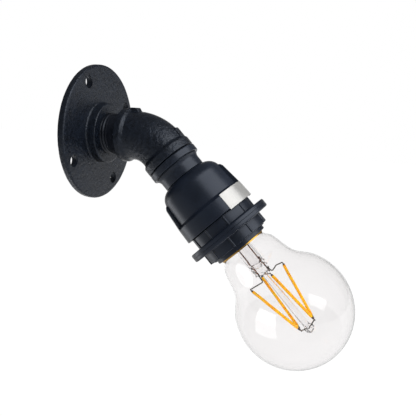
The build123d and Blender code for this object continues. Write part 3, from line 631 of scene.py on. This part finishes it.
# %% A tube on a route
route_tree, route = geometry_tree("tube_on_a_route", Tube_Radius="Float", Sides="Int",
                                  Corner_Radius="Float", Corner_Steps="Int")
route_line = add(route_tree, "GeometryNodeMeshToCurve", {"Mesh": route["Geometry"]})
rounded_route = add(route_tree, "GeometryNodeFilletCurve", {
    "Curve": route_line.outputs[0], "Count": route["Corner Steps"],
    "Radius": route["Corner Radius"]}, mode="POLY")
end_tree(route_tree, swept(route_tree, rounded_route.outputs[0], route["Sides"],
                           route["Tube Radius"]))


def tube(name, points, radius, sides, corner, corner_steps):
    """A closed round tube through a few points, its corners rounded. Sizes in millimetres."""
    start = bpy.data.meshes.new(name + "_route")
    start.from_pydata([point * MM for point in points],
                      [(low, low + 1) for low in range(len(points) - 1)], [])
    return run_tree(put(name, start), route_tree, Tube_Radius=radius * MM, Sides=sides,
                    Corner_Radius=corner * MM, Corner_Steps=corner_steps)


# %% [markdown]
# ## Elbow
# A 45 degree malleable elbow: a swept body, a raised band at each end and a small lug on the
# outside of the bend beside each band, where the caster's pattern was split. All of it is cast as
# one, and then the bore and the two sockets are cut.

# %% Elbow
elbow_face, bend_radius, body_radius, band_radius = 17.7, 21.0, 12.7, 14.0
bore_radius, socket_radius, socket_depth, past_the_end = 8.6, 10.71, 6.9, 2
entry_width, leave_width, band_slope_length, band_sink = 3.4, 4.4, 1.7, 0.1
elbow_reach = -elbow_centre.y - elbow_face
entry = wall_direction * elbow_face
leave = elbow_centre + lamp_direction * elbow_reach


def on_the_bend(name, longer, radius):
    """A tube along the elbow's bend, from end to end and a little longer."""
    ends = entry - wall_direction * longer, leave + lamp_direction * longer
    return tube(name, (ends[0], elbow_centre, ends[1]), radius, 72, bend_radius, 24)


def band(name, place, face, way, width):
    """A raised band from the elbow's end face, with a slope down to the body."""
    foot = width + band_slope_length
    outline = [(0, 0), (band_radius, 0, 0.5), (band_radius, width, 0.25),
               (body_radius - band_sink, foot), (0, foot)]
    return turned(name, rounded_outline([(radius, face + way * at, *rest)
                                         for radius, at, *rest in outline]), place, 128)


def lug(name, place, face, way, width, top, end):
    """The small block on the outside of the bend, from its band to a sloped free end."""
    half_width, root, slope_length, overlap = 2.2, 10.0, 2.6, 0.6
    construction = bmesh.new()
    side = ((width - overlap, root), (width - overlap, top), (end, top), (end + slope_length, root))
    corners = [Vector((x, y, face + way * at)) for x in (-half_width, half_width)
               for at, y in side]
    bmesh.ops.convex_hull(construction, input=[construction.verts.new(place @ corner * MM)
                                               for corner in corners])
    bmesh.ops.bevel(construction, geom=construction.edges[:], offset=0.4 * MM, segments=3,
                    affect="EDGES", profile=0.5)
    return finished(name, construction)


elbow = joined("elbow_casting", on_the_bend("body", 0, body_radius),
               band("entry_band", wall, elbow_face, 1, entry_width),
               band("leave_band", lamp, elbow_reach, -1, leave_width),
               lug("entry_lug", wall, elbow_face, 1, entry_width, top=14.4, end=7.8),
               lug("leave_lug", lamp, elbow_reach, -1, leave_width, top=13.6, end=10.7))
cast(elbow, voxel=0.27, seed=8.0, rounds=1, slow=(4.0, 0.06), grain=(1.3, 0.10))
cut(elbow, on_the_bend("bore", 2 * past_the_end, bore_radius),
    rod("entry_socket", wall, socket_radius, elbow_face - past_the_end,
        elbow_face + socket_depth),
    rod("leave_socket", lamp, socket_radius, elbow_reach - socket_depth,
        elbow_reach + past_the_end))
dress(elbow, "elbow_pipe", cast_iron, "black_cast_iron", "elbow")

# %% [markdown]
# ## Adaptor
# A turned piece with a pipe thread at its back, a plain collar that meets the elbow's band, and a
# hollow curve down to the neck that carries the lamp holder.

# %% Adaptor
adaptor_start, neck_end, collar_radius = measured("adaptor", lamp)
neck_radius, collar_start, collar_end, neck_start = 11.8, 16.2, 20.0, 23.0
stub_bore, tube_bore, tube_seat = 7.0, 5.05, 19.5
hollow = [(12.3, collar_end), (12.3, 20.3), (12.75, 20.5), (12.4, 20.95), (12.13, 21.4),
          (11.93, 22.0), (11.83, 22.5)]
adaptor = turned("adaptor_turned", rounded_outline([
    (stub_bore, adaptor_start, 0.4), (pipe_radius, adaptor_start, 0.8),
    (pipe_radius, collar_start), (collar_radius, collar_start, 0.6),
    (collar_radius, collar_end, 0.5), *hollow, (neck_radius, neck_start),
    (neck_radius, neck_end, 0.2), (tube_bore, neck_end), (tube_bore, tube_seat),
    (stub_bore, tube_seat)]), lamp, 160)
dress(adaptor, "lamp_holder", turned_lacquer, "black_painted_steel", "adaptor")

# %% [markdown]
# ## Cap of the holder
# The cap is a moulded dome over a wider band. Two flat-topped pads, a quarter turn each side of
# the front, run down its sides and die into the band: they are where the mould's two sliding parts
# met. The dome is turned, and a shape function lifts the radius where a pad stands. The list of
# angles has two close together at each pad's edge, which keeps the edges crisp.

# %% Cap
front_angle = 155.5
pad_angles = (front_angle - 90, front_angle + 90)
pad_half_width, pad_top, pad_proud, pad_from = 13.0, 33.4, 1.3, 17.3
dome_radius, band_top, band_end = 17.35, 47.0, 54.9
band_top_radius, band_end_radius = 20.05, 20.35
cap_top, cap_ceiling, cap_inside, cap_thread, cap_thread_start = 27.15, 29.75, 15.0, 16.15, 40.9


def pad_lift(angle, radius, at):
    """The cap's radius at an angle: higher on the two pads."""
    away = min(abs((angle - pad + 180) % 360 - 180) for pad in pad_angles)
    if away > pad_half_width or radius < pad_from or not pad_top <= at <= band_top:
        return radius
    down = (at - pad_top) / (band_top - pad_top)
    proud = min(pad_proud, (pad_proud + at - pad_top) / 2)
    pad = dome_radius + proud + (band_top_radius - dome_radius - pad_proud) * down
    return max(radius, pad)


pad_edges = [pad + side * (pad_half_width + step) for pad in pad_angles for side in (-1, 1)
             for step in (-0.05, 0.25)]
cap_angles = sorted([2.5 * step for step in range(144)] + pad_edges)
cap_outline = rounded_outline([
    (tube_bore, cap_top), (dome_radius, cap_top, 6.95), (17.37, 34.2), (17.42, 34.9),
    (17.7, 39.0), (18.1, 45.6, 0.6), (band_top_radius, band_top, 0.5),
    (band_end_radius, band_end, 0.35), (cap_thread, band_end), (cap_thread, cap_thread_start),
    (cap_inside, cap_thread_start), (cap_inside, cap_ceiling, 3.0), (tube_bore, cap_ceiling)])
cap = turned("cap_moulding", cap_outline, lamp, cap_angles, shape=pad_lift)
dress(cap, "lamp_holder", moulded_plastic, "black_thermoplastic", "holder_cap")

# %% [markdown]
# ## Label
# A strip of foil glued round a quarter of the band. It is a turned strip that doesn't go all the
# way round, a tenth of a millimetre thick and left blank.

# %% Label
band_slope = (band_end_radius - band_top_radius) / (band_end - band_top)
label_low, label_high, label_from, label_to = 46.5, 55.4, 50.5, 137.5
label_gap, foil, label_steps = 0.03, 0.11, 48


def label_radius(at):
    """The band's radius at a distance along the lamp's axis, plus the glue."""
    return band_end_radius + band_slope * (at - band_end) + label_gap


label = turned("blank_foil_label", [
    (label_radius(label_low), label_low), (label_radius(label_low) + foil, label_low),
    (label_radius(label_high) + foil, label_high), (label_radius(label_high), label_high)],
    lamp, [label_from + (label_to - label_from) * step / label_steps
           for step in range(label_steps + 1)], whole=False)
dress(label, "lamp_holder", silver_foil, "foil_label", "label")

# %% [markdown]
# ## Outer shell of the holder
# The shell is screwed into the cap. Outside it has a coarse thread for the shade rings, and inside
# a round thread for the lamp. Both are radius functions on one turned outline.

# %% Outer shell
lamp_pitch = 2 * pi / frame["record"]["behaviour"]["couplings"][0]["ratio"] / MM
shell_pitch, shell_radius, shell_bore = 3.0, 16.0, 13.5
outside = thread(shell_pitch, 15.55, 16.04, 55.5, 70.9, fade=0.6, inner=shell_radius)
inside = thread(lamp_pitch, 12.5, 13.4, 53.4, 71.6, fade=2.0, inner=shell_bore)


def both_threads(angle, radius, at):
    """The shell's outer thread and its inner one."""
    return outside(angle, radius, at) if radius > 15 else inside(angle, radius, at)


shell_outline = ([(14.2, 41.3), (shell_radius, 41.3)] + stepped(shell_radius, 55.0, 71.0, 0.25)
                 + [(14.7, 71.02), (14.7, 72.55), (14.5, 72.8), (13.7, 72.8)]
                 + stepped(shell_bore, 72.6, 52.0, 0.3) + [(shell_bore, 47.5), (14.2, 47.5)])
outer_shell = turned("threaded_shell", shell_outline, lamp, 120, shape=both_threads)
dress(outer_shell, "lamp_holder", moulded_plastic, "black_thermoplastic", "outer_shell")
print(f"lamp thread pitch {lamp_pitch:.3f} mm")

# %% [markdown]
# ## Ribs round a ring
# Each shade ring has ten small ribs on its skirt for the fingers. One rib is a short rod, laid
# along the axis and sunk into the skirt. Geometry Nodes makes the points on a circle, one for
# each rib, and puts the rod on each.

# %% The ribs' tree
rib_tree, rib = geometry_tree("ribs_round_a_skirt", Count="Int", Circle_Radius="Float",
                              Rib_Radius="Float", Low="Float", High="Float", Turn="Float")
rib_points = add(rib_tree, "GeometryNodeMeshLine", {"Count": rib["Count"]}, mode="OFFSET")
rib_index = add(rib_tree, "GeometryNodeInputIndex").outputs[0]
rib_angle = maths(rib_tree, "MULTIPLY_ADD", maths(rib_tree, "DIVIDE", rib_index, rib["Count"]),
                  2 * pi, rib["Turn"])
rib_way = add(rib_tree, "ShaderNodeCombineXYZ", {
    "X": maths(rib_tree, "COSINE", rib_angle), "Y": maths(rib_tree, "SINE", rib_angle)})
rib_place = add(rib_tree, "ShaderNodeVectorMath", {
    0: rib_way.outputs[0], "Scale": rib["Circle Radius"]}, operation="SCALE")
rib_circle = add(rib_tree, "GeometryNodeSetPosition", {
    "Geometry": rib_points.outputs[0], "Position": rib_place.outputs[0]})
rib_line = add(rib_tree, "GeometryNodeCurvePrimitiveLine", {
    end: add(rib_tree, "ShaderNodeCombineXYZ", {"Z": rib[height]}).outputs[0]
    for end, height in (("Start", "Low"), ("End", "High"))})
rib_copies = add(rib_tree, "GeometryNodeInstanceOnPoints", {
    "Points": rib_circle.outputs[0],
    "Instance": swept(rib_tree, rib_line.outputs[0], 20, rib["Rib Radius"])})
end_tree(rib_tree, rib_copies.outputs[0])

# %% [markdown]
# ## Shade rings
# Two equal rings screw onto the shell with their flanges face to face, and a shade is clamped
# between them. Each is a turned skirt and flange with its ribs. The thread inside can't be seen,
# so the bore is plain and stands a fifth of a millimetre clear of the shell's thread.

# %% Shade rings
skirt_radius, ring_bore, flange_thick, rib_count = 17.9, 16.25, 2.15, 10
rib_circle_radius, rib_radius, rib_end_gap = 17.8, 0.55, 0.1


def shade_ring(name, body, skirt_end, face, rib_turn):
    """A ring from its skirt's free end to its flange's flat face."""
    rim_radius = measured(name, lamp)[2]
    way = 1 if face > skirt_end else -1
    back = face - way * flange_thick
    ring = turned(name + "_blank", rounded_outline([
        (ring_bore, skirt_end, 0.12), (skirt_radius, skirt_end, 0.3), (skirt_radius, back, 0.45),
        (rim_radius, back, 0.8), (rim_radius, face, 0.12), (ring_bore, face, 0.12)]), lamp, 160)
    ribs = grown(name + "_ribs", rib_tree, Count=rib_count, Circle_Radius=rib_circle_radius * MM,
                 Rib_Radius=rib_radius * MM, Low=(min(skirt_end, back) + rib_end_gap) * MM,
                 High=(max(skirt_end, back) - rib_end_gap) * MM,
                 Turn=radians(front_angle + rib_turn))
    ribs.data.transform(Matrix.LocRotScale(lamp.to_translation() * MM, lamp.to_quaternion(), None))
    dress(joined(name + "_ribbed", ring, ribs), body, moulded_plastic, "black_thermoplastic", name)


shade_ring("upper_shade_ring", "upper_ring", skirt_end=55.0, face=62.7, rib_turn=-3.5)
shade_ring("lower_shade_ring", "lower_ring", skirt_end=70.45, face=62.75, rib_turn=10.8)

# %% [markdown]
# ## Lamp cap
# The lamp's screw shell is brass a third of a millimetre thick, rolled into a round thread of the
# E27 size. It is a turned outline with a thread as its shape, inside as well as outside, so that
# the wall stays thin. The solder drop and the black glass insulator close its end.

# %% Screw shell, solder drop and insulator
thread_low, thread_high, brass, thread_start, thread_end = 12.2, 13.04, 0.32, 51.6, 69.6
shell_thread = thread(lamp_pitch, thread_low, thread_high, thread_start, thread_end, fade=1.2)


def rolled(angle, radius, at):
    """The thread on the two straight runs. The inner face follows the outer one."""
    for inset in (0.0, brass):
        if abs(radius + inset - thread_low) < 0.01:
            return shell_thread(angle, radius + inset, at) - inset
    return radius


lamp_shell_outline = ([(10.95, 50.95), (11.6, 51.0), (12.0, 51.15), (thread_low, 51.4)]
                      + stepped(thread_low, thread_start, thread_end, 0.28)
                      + [(12.4, 70.1), (12.75, 70.5), (12.95, 70.9), (12.95, 73.3), (12.9, 73.6),
                         (12.66, 73.6), (12.63, 73.3), (12.63, 70.9), (12.43, 70.5), (12.08, 70.1)]
                      + stepped(thread_low - brass, thread_end, thread_start, 0.28)
                      + [(11.6, 51.4), (10.95, 51.27)])
lamp_shell = turned("lamp_screw_shell", lamp_shell_outline, lamp, 120, shape=rolled)
dress(lamp_shell, "lamp", lamp_brass, "lamp_brass", "lamp_shell")
solder_pad = turned("solder_drop", [
    (0, 46.9), (2.2, 46.93), (3.6, 47.08), (4.5, 47.35), (4.88, 47.75), (4.9, 48.0), (4.85, 48.3),
    (0, 48.3)], lamp, 64)
dress(solder_pad, "lamp_pad", solder, "solder", "lamp_contact")
insulator = turned("black_glass_insulator", rounded_outline([
    (0, 48.36), (5.4, 48.36, 0.4), (10.9, 50.8, 0.3), (10.9, 51.5), (0, 51.5)]), lamp, 96)
dress(insulator, "lamp", black_glass, "black_glass", "lamp_insulator")

# %% [markdown]
# ## Blown glass
# The bulb's outline is a straight neck, a long hollow curve and most of a sphere. It was blown, so
# the curve is drawn through a few measured points with smooth tangents, and the inner face is the
# same curve nine tenths of a millimetre further in. Two faces matter: light bends at both, and
# the rim of the bulb darkens only where the wall is seen edge on.


# %% A smooth curve through points
def through(points, first_way, last_way, steps=14):
    """Points on a smooth curve through the given ones, with its two end directions."""
    points = [Vector(point) for point in points]
    ways = [Vector(first_way).normalized()]
    ways += [(after - before).normalized() for before, after in zip(points, points[2:])]
    ways.append(Vector(last_way).normalized())
    curve = []
    for number in range(len(points) - 1):
        here, there = points[number], points[number + 1]
        pull = (there - here).length
        for step in range(steps):
            t = step / steps
            curve.append(here * (2 * t ** 3 - 3 * t ** 2 + 1) + there * (3 * t ** 2 - 2 * t ** 3)
                         + ways[number] * pull * (t ** 3 - 2 * t ** 2 + t)
                         + ways[number + 1] * pull * (t ** 3 - t ** 2))
    return [tuple(point) for point in curve + [points[-1]]]


# %% Bulb
globe_at, glass_wall, join_angle, glass_neck = globe_end - globe_radius, 0.9, -27.5, 11.6
cap_steps = 44


def bulb_face(inset):
    """One face of the glass, from the neck to the tip."""
    radius, neck = globe_radius - inset, glass_neck - inset
    join = radians(join_angle)
    body = through([(neck, 71.0), (15.6 - inset, 78.6), (18.9 - inset, 90.0),
                    (radius * cos(join), globe_at + radius * sin(join))],
                   (0, 1), (-sin(join), cos(join)))
    turns = [join + (pi / 2 - join) * step / cap_steps for step in range(1, cap_steps)]
    sphere = [(radius * cos(turn), globe_at + radius * sin(turn)) for turn in turns]
    return [(neck, globe_start), (neck, 67.0)] + body + sphere + [(0, globe_at + radius)]


bulb = turned("blown_bulb", bulb_face(0) + bulb_face(glass_wall)[::-1], lamp, 192)
dress(bulb, "lamp", clear_glass, "clear_glass", "lamp_glass")

# %% [markdown]
# ## Glass stem
# Inside the neck a flared glass tube is melted to the bulb. Its end is pinched flat round the
# wires while it is soft, and a thin rod stands on the pinch and carries a button for the filament
# hooks. It is one turned outline; where the tube is pinched, the shape function squeezes the
# circle into a flat oblong.

# %% Stem
stem_angle, pinch_long, pinch_short, pinch_from, pinch_to = 56.5, 4.2, 1.6, 82.0, 92.0
stem_radius, rod_radius, button_radius, button_at, button_from = 4.4, 1.6, 2.6, 126.4, 124.0
button_steps = 12


def pinched(angle, radius, at):
    """Squeeze the tube flat and crumple it at the pinch, and leave the button uneven."""
    turn = radians(angle - stem_angle)
    if at > button_from:
        return radius * (1 + 0.07 * sin(5 * turn + at) + 0.05 * sin(3 * turn - 4 * at))
    if not pinch_from < at < pinch_to or radius < rod_radius + 0.01:
        return radius
    oblong = (abs(cos(turn) / pinch_long) ** 4 + abs(sin(turn) / pinch_short) ** 4) ** -0.25
    rise = min(1.0, max(0.0, (at - pinch_from - 0.5) / 3.5))
    squeeze = rise * rise * (3 - 2 * rise)
    crumple = 1 + squeeze * (0.09 * sin(3 * turn + 2.3 * at) + 0.06 * sin(7 * turn - 3.1 * at))
    return (radius * (1 - squeeze) + oblong * squeeze * radius / stem_radius) * crumple


button_sweep = pi - asin(rod_radius / button_radius)
button_turns = [button_sweep * (1 - step / button_steps) for step in range(button_steps + 1)]
button = [(button_radius * sin(turn), button_at + button_radius * cos(turn))
          for turn in button_turns]
flare = through([(10.7, 63.1), (6.2, 65.6), (stem_radius, 69.8)], (-1, 0.15), (0, 1), 8)
flare_inside = through([(3.6, 69.8), (5.5, 65.2), (10.0, 62.4)], (0, -1), (1, -0.15), 8)
stem_outline = ([(10.7, 62.4)] + flare + [(stem_radius, 73.0), (stem_radius, 76.0)]
                + [(stem_radius, 78.2 + 0.4 * step) for step in range(30)]
                + [(4.1, 90.2), (3.2, 90.7), (2.2, 91.0), (rod_radius, 91.7), (rod_radius, 108.0)]
                + button + [(0, 87.6), (1.2, 87.3), (2.3, 86.6), (3.0, 85.4), (3.4, 83.6),
                            (3.6, 81.0), (3.6, 75.0)]
                + flare_inside)
stem = turned("stem_with_rod_and_button", stem_outline, lamp, 96, shape=pinched)
dress(stem, "lamp", clear_glass, "clear_glass", "glass_stem")

# %% [markdown]
# ## Filaments
# Four straight filaments lean in from a wide circle at the stem to the button. Each is a strip in
# a round coat of phosphor, with a bare metal tip at each end that is welded to its wire. A tree
# draws a line between two points, swells its radius a little at each buried light source, and
# sweeps a circle along it.

# %% The filament's tree
filament_tree, strand = geometry_tree("coated_filament", Top="Vector", Foot="Vector",
                                      Radius="Float", Beads="Int", Swell="Float")
strand_line = add(filament_tree, "GeometryNodeCurvePrimitiveLine", {
    "Start": strand["Top"], "End": strand["Foot"]})
strand_points = add(filament_tree, "GeometryNodeResampleCurve", {
    "Curve": strand_line.outputs[0], "Count": 200})
strand_along = add(filament_tree, "GeometryNodeSplineParameter").outputs["Factor"]
bead_turn = maths(filament_tree, "MULTIPLY", strand["Beads"], 2 * pi)
bead_wave = maths(filament_tree, "COSINE",
                  maths(filament_tree, "MULTIPLY", strand_along, bead_turn))
bead_swell = maths(filament_tree, "SUBTRACT", 1.0,
                   maths(filament_tree, "MULTIPLY", bead_wave, strand["Swell"]))
from_middle = maths(filament_tree, "ABSOLUTE",
                    maths(filament_tree, "SUBTRACT", strand_along, 0.5))
end_round = ranged(filament_tree, from_middle, 0.486, 0.5, 1.0, 0.72)
strand_radius = maths(filament_tree, "MULTIPLY",
                      maths(filament_tree, "MULTIPLY", bead_swell, end_round), strand["Radius"])
end_tree(filament_tree,
         swept(filament_tree, strand_points.outputs[0], 16, 1.0, Scale=strand_radius))


# %% Filaments and their tips
def lamp_point(angle, radius, at):
    """A point about the lamp's axis, in the light's frame."""
    return lamp @ Vector((radius * cos(radians(angle)), radius * sin(radians(angle)), at))


cross_high, cross_low, foot_at, top_radius = 92.6, 91.5, 124.9, 11.0
foot_sides = ((front_angle - 90, 4.7, -1.25), (front_angle - 90, 4.7, 1.25),
              (front_angle + 90, 4.0, 1.25), (front_angle + 90, 4.0, -1.25))
top_margin, foot_margin, coat_radius, bead_count, bead_swelling = 1.6, 2.4, 0.76, 26, 0.015
tip_outline = [(0, 0.2), (0.28, 0.2), (0.28, 0.9), (0.6, 1.1), (0.6, 3.0), (0, 3.0)]
to_front = lamp_point(front_angle, 1, 0) - lamp_point(0, 0, 0)
feet = [lamp_point(side, out, foot_at) + to_front * forward for side, out, forward in foot_sides]
tops = [lamp_point(stem_angle + 90 * number, top_radius, cross_low if number % 2 else cross_high)
        for number in range(4)]
tips = []
for number, (top, foot) in enumerate(zip(tops, feet), start=1):
    along = (foot - top).normalized()
    coat = grown(f"filament_coat_{number}", filament_tree, Top=(top + along * top_margin) * MM,
                 Foot=(foot - along * foot_margin) * MM, Radius=coat_radius * MM,
                 Beads=bead_count, Swell=bead_swelling)
    dress(coat, "lamp", phosphor, "filament_phosphor", f"filament_{number}")
    for end, way in ((top, along), (foot, -along)):
        tips.append(turned("tip", tip_outline, axis_frame(end, way), 14))
dress(joined("filament_tips", *tips), "lamp", dark_tip, "support_wire")

# %% [markdown]
# ## Wires
# Two lead-ins rise through the stem, three cross wires carry the filaments' upper ends, and two
# short links, each hooked to the button, join the lower ends in pairs. All are plain round wire,
# 0.7 mm thick, and each is a tube on a route of a few points.

# %% Lay wires along routes
wire_radius, lead_radius, lead_low = 0.34, 2.8, 52.5


def wires(name, routes, corner, material, node):
    """Round wires along routes of points, as one piece of the lamp."""
    laid = [tube(name + "_strand", points, wire_radius, 14, corner, 6) for points in routes]
    dress(joined(name, *laid), "lamp", material, "support_wire", node)


wires("lead_in_pair", [[lamp_point(stem_angle + side, lead_radius, at) for at in (lead_low, high)]
                       for side, high in ((0, 91.9), (180, 90.4))],
      0.1, copper_clad_wire, "lead_in_wires")
wires("cross_wire_pair", [[tops[2], lamp_point(stem_angle + 180, 3.4, 94.0),
                           lamp_point(stem_angle + 180, 3.0, 89.5)],
                          [lamp_point(stem_angle, 3.2, 89.5), lamp_point(stem_angle, 3.9, 92.6),
                           lamp_point(stem_angle, 7.6, 91.6), tops[0]],
                          [tops[3], tops[1]]], 0.8, nickel_wire, "cross_wires")
foot_routes = []
for first, second in (feet[:2], feet[2:]):
    foot_routes += [[first, second], [lamp_point(0, 0, button_at), (first + second) / 2]]
wires("foot_hooks", foot_routes, 0.1, nickel_wire, "foot_links")

# %% [markdown]
# ## What stays as the model has it
# The pieces inside the holder are plain stamped or moulded shapes, and the solids already have
# them. They keep their meshes and get the finish of the real material.

# %% Materials for the solids that stay
kept_solids = {
    "lead_in_nipple": sheath_pvc, "lead_in_elbow": sheath_pvc, "lead_in_holder": sheath_pvc,
    "brown_tail": brown_pvc, "brown_core": brown_pvc, "blue_tail": blue_pvc, "blue_core": blue_pvc,
    "entry_tube": zinc_plate, "lock_nut": zinc_plate, "terminal_screws": zinc_plate,
    "contact_insert": white_thermoset, "centre_contact": contact_brass,
    "side_contact": contact_brass, "line_terminal": contact_brass,
    "neutral_terminal": contact_brass,
}
for node, material in kept_solids.items():
    for slot in frame["nodes"][node].material_slots:
        slot.material = material
print(len(kept_solids), "solids keep their shape")

# %% [markdown]
# ## Camera
# The camera stands 260 mm from the elbow, to the left of the lamp and a little above it, as the
# photograph's does. The distance, the angles and the lens were fitted to the outlines of the
# flange, the holder and the bulb. It looks slightly down and is rolled by three degrees.

# %% Camera
azimuth, elevation, roll = radians(-71.55), radians(13.32), radians(2.87)
camera_distance, camera_right, camera_down = 260.32, 28.82, 36.93
towards = Vector((sin(azimuth) * cos(elevation), -cos(azimuth) * cos(elevation), sin(elevation)))
level = Vector((cos(azimuth), sin(azimuth), 0))
upright = towards.cross(level)
right = level * cos(roll) + upright * sin(roll)
up = upright * cos(roll) - level * sin(roll)
stand = Matrix((right, up, towards)).transposed().to_4x4()
stand.translation = (elbow_centre + towards * camera_distance + right * camera_right
                     - up * camera_down) * MM
camera_data = bpy.data.cameras.new("camera")
camera = put("camera", camera_data)
camera.matrix_world = stand
picture_width, focal_pixels, sensor_width = 416, 500.88, 36
camera_data.sensor_width = sensor_width
camera_data.lens = focal_pixels * sensor_width / picture_width
camera_data.clip_start = 0.01
bpy.context.scene.camera = camera
print(f"camera at {[round(part, 3) for part in stand.translation]}, lens {camera_data.lens:.1f} mm")

# %% [markdown]
# ## Light
# Black gloss shows what stands around it, so the studio is built for reflections. A large softbox
# high on the right draws the highlights on the tops of the holder, the bands and the rings, and a
# wide, weaker one on the right draws the soft sheen down its side. A narrow one low on the left
# draws the thin rim. The fourth, overhead, adds plain light alone: no gloss shows it. None of
# them lights the bulb, whose glass would show each as a hard patch. It has a window of its own,
# on the left, as in the photograph.


# %% Softboxes
def softbox(name, azimuth_degrees, elevation_degrees, width, height, strength):
    """A rectangular light that faces the holder. Azimuth is counted from the camera's side."""
    turn = azimuth + radians(azimuth_degrees)
    lift = radians(elevation_degrees)
    way = Vector((sin(turn) * cos(lift), -cos(turn) * cos(lift), sin(lift)))
    data = bpy.data.lights.new(name, "AREA")
    data.shape = "RECTANGLE"
    data.size, data.size_y = width, height
    data.energy = strength * pi * width * height
    light = put(name, data)
    light.matrix_world = Matrix.LocRotScale(lamp_point(0, 0, 60) * MM + way * softbox_distance,
                                            way.to_track_quat("Z", "Y"), None)
    light.visible_camera = False
    return light


softbox_distance = 0.60
for_the_rest = [softbox("softbox_over_the_right", 60, 46, 0.80, 0.54, 2.2),
                softbox("softbox_right", 94, -8, 0.92, 0.56, 0.8),
                softbox("softbox_low_left", -112, -32, 0.24, 0.40, 1.6),
                softbox("softbox_top", 20, 66, 0.40, 0.40, 1.4)]
for_the_rest[-1].visible_glossy = False
window_light = softbox("window_for_the_bulb", -57, -19, 0.44, 0.50, 2.3)
only_bulb = bpy.data.collections.new("lit_by_the_window")
only_bulb.objects.link(bulb)
window_light.light_linking.receiver_collection = only_bulb
not_bulb = bpy.data.collections.new("not_lit_by_the_softboxes")
not_bulb.objects.link(bulb)
not_bulb.collection_objects[0].light_linking.link_state = "EXCLUDE"
for light in for_the_rest:
    light.light_linking.receiver_collection = not_bulb
print("softboxes:", len(for_the_rest) + 1)

# %% [markdown]
# ## The room
# The world is a white studio that each kind of ray sees in its own way. The camera sees plain
# white. Gloss sees a room that is white behind the light and dark in front of it, which keeps the
# middle of every black cylinder dark, with a glow below from the table. Clear glass sees white
# straight behind it and grey to the sides, and that draws the bulb's rim. Everything else gets a
# moderate fill from above and in front. Light that has already met a dull surface and leaves
# through the glass is given more, so that the pieces in the bulb aren't left in its shade.

# %% The room
world = bpy.data.worlds.new("studio")
bpy.context.scene.world = world
world.use_nodes = True
room = world.node_tree
room.nodes.clear()
seen = add(room, "ShaderNodeLightPath").outputs
ray = add(room, "ShaderNodeTexCoord").outputs["Generated"]


def along_ray(direction):
    """How far a ray points along a direction, from -1 to 1."""
    return add(room, "ShaderNodeVectorMath", {0: ray, 1: direction},
               operation="DOT_PRODUCT").outputs["Value"]


# Each range says between which two values it changes, and the light level at both.
fill_direction = (-0.19, -0.80, 0.57)
ray_height = add(room, "ShaderNodeSeparateXYZ", {0: ray}).outputs["Z"]
front_dark = ranged(room, along_ray(towards), -0.99, -0.84, 1.0, 0.13)
table_glow = ranged(room, ray_height, 0.05, -0.60, 0.0, 0.40)
soft_fill = ranged(room, along_ray(fill_direction), -0.2, 1.0, 0.20, 1.2)
glass_view = ranged(room, along_ray(towards), -0.985, -0.20, 1.0, 0.22)
inside_bulb = maths(room, "GREATER_THAN", seen["Diffuse Depth"], 0.5)
ray_levels = {"Is Glossy Ray": maths(room, "ADD", front_dark, table_glow),
              "Is Transmission Ray": chosen(room, inside_bulb, glass_view, 2.2),
              "Is Camera Ray": 1.0}
room_level = soft_fill
for kind, ray_level in ray_levels.items():
    room_level = chosen(room, seen[kind], room_level, ray_level)
room_light = add(room, "ShaderNodeBackground", {"Color": (1, 1, 1, 1), "Strength": room_level})
add(room, "ShaderNodeOutputWorld", {0: room_light.outputs[0]})
print("the room has", len(room.nodes), "nodes")

# %% [markdown]
# ## Floor
# The light hangs on a wall that the photograph leaves out, so a pale floor lies well below it. It
# looks white to the camera and keeps a trace of the object's shadow. Gloss doesn't see the floor,
# because the room already has a table's glow in it.

# %% Floor
floor_material, paper, _ = new_material("floor_pale_paper")
paper.nodes.clear()
white_share, white_level = 0.94, 1.04
paper_seen = add(paper, "ShaderNodeLightPath").outputs
looked_at = maths(paper, "MAXIMUM", paper_seen["Is Camera Ray"], paper_seen["Is Transmission Ray"])
paper_share = maths(paper, "MULTIPLY", looked_at, white_share)
paper_diffuse = add(paper, "ShaderNodeBsdfDiffuse", {"Color": colour("#F4F4F4")})
paper_white = add(paper, "ShaderNodeEmission", {"Color": (1, 1, 1, 1), "Strength": white_level})
paper_mix = add(paper, "ShaderNodeMixShader", {
    0: paper_share, 1: paper_diffuse.outputs[0], 2: paper_white.outputs[0]})
add(paper, "ShaderNodeOutputMaterial", {0: paper_mix.outputs[0]})
floor_mesh = bpy.data.meshes.new("floor")
floor_half, floor_at = 2.0, -0.24
floor_mesh.from_pydata([(floor_half * x, floor_half * y, floor_at)
                        for x, y in ((-1, -1), (1, -1), (1, 1), (-1, 1))], [], [(0, 1, 2, 3)])
floor_mesh.materials.append(floor_material)
paper_floor = put("floor", floor_mesh)
paper_floor.visible_glossy = False
bpy.context.scene.view_settings.view_transform = "Standard"
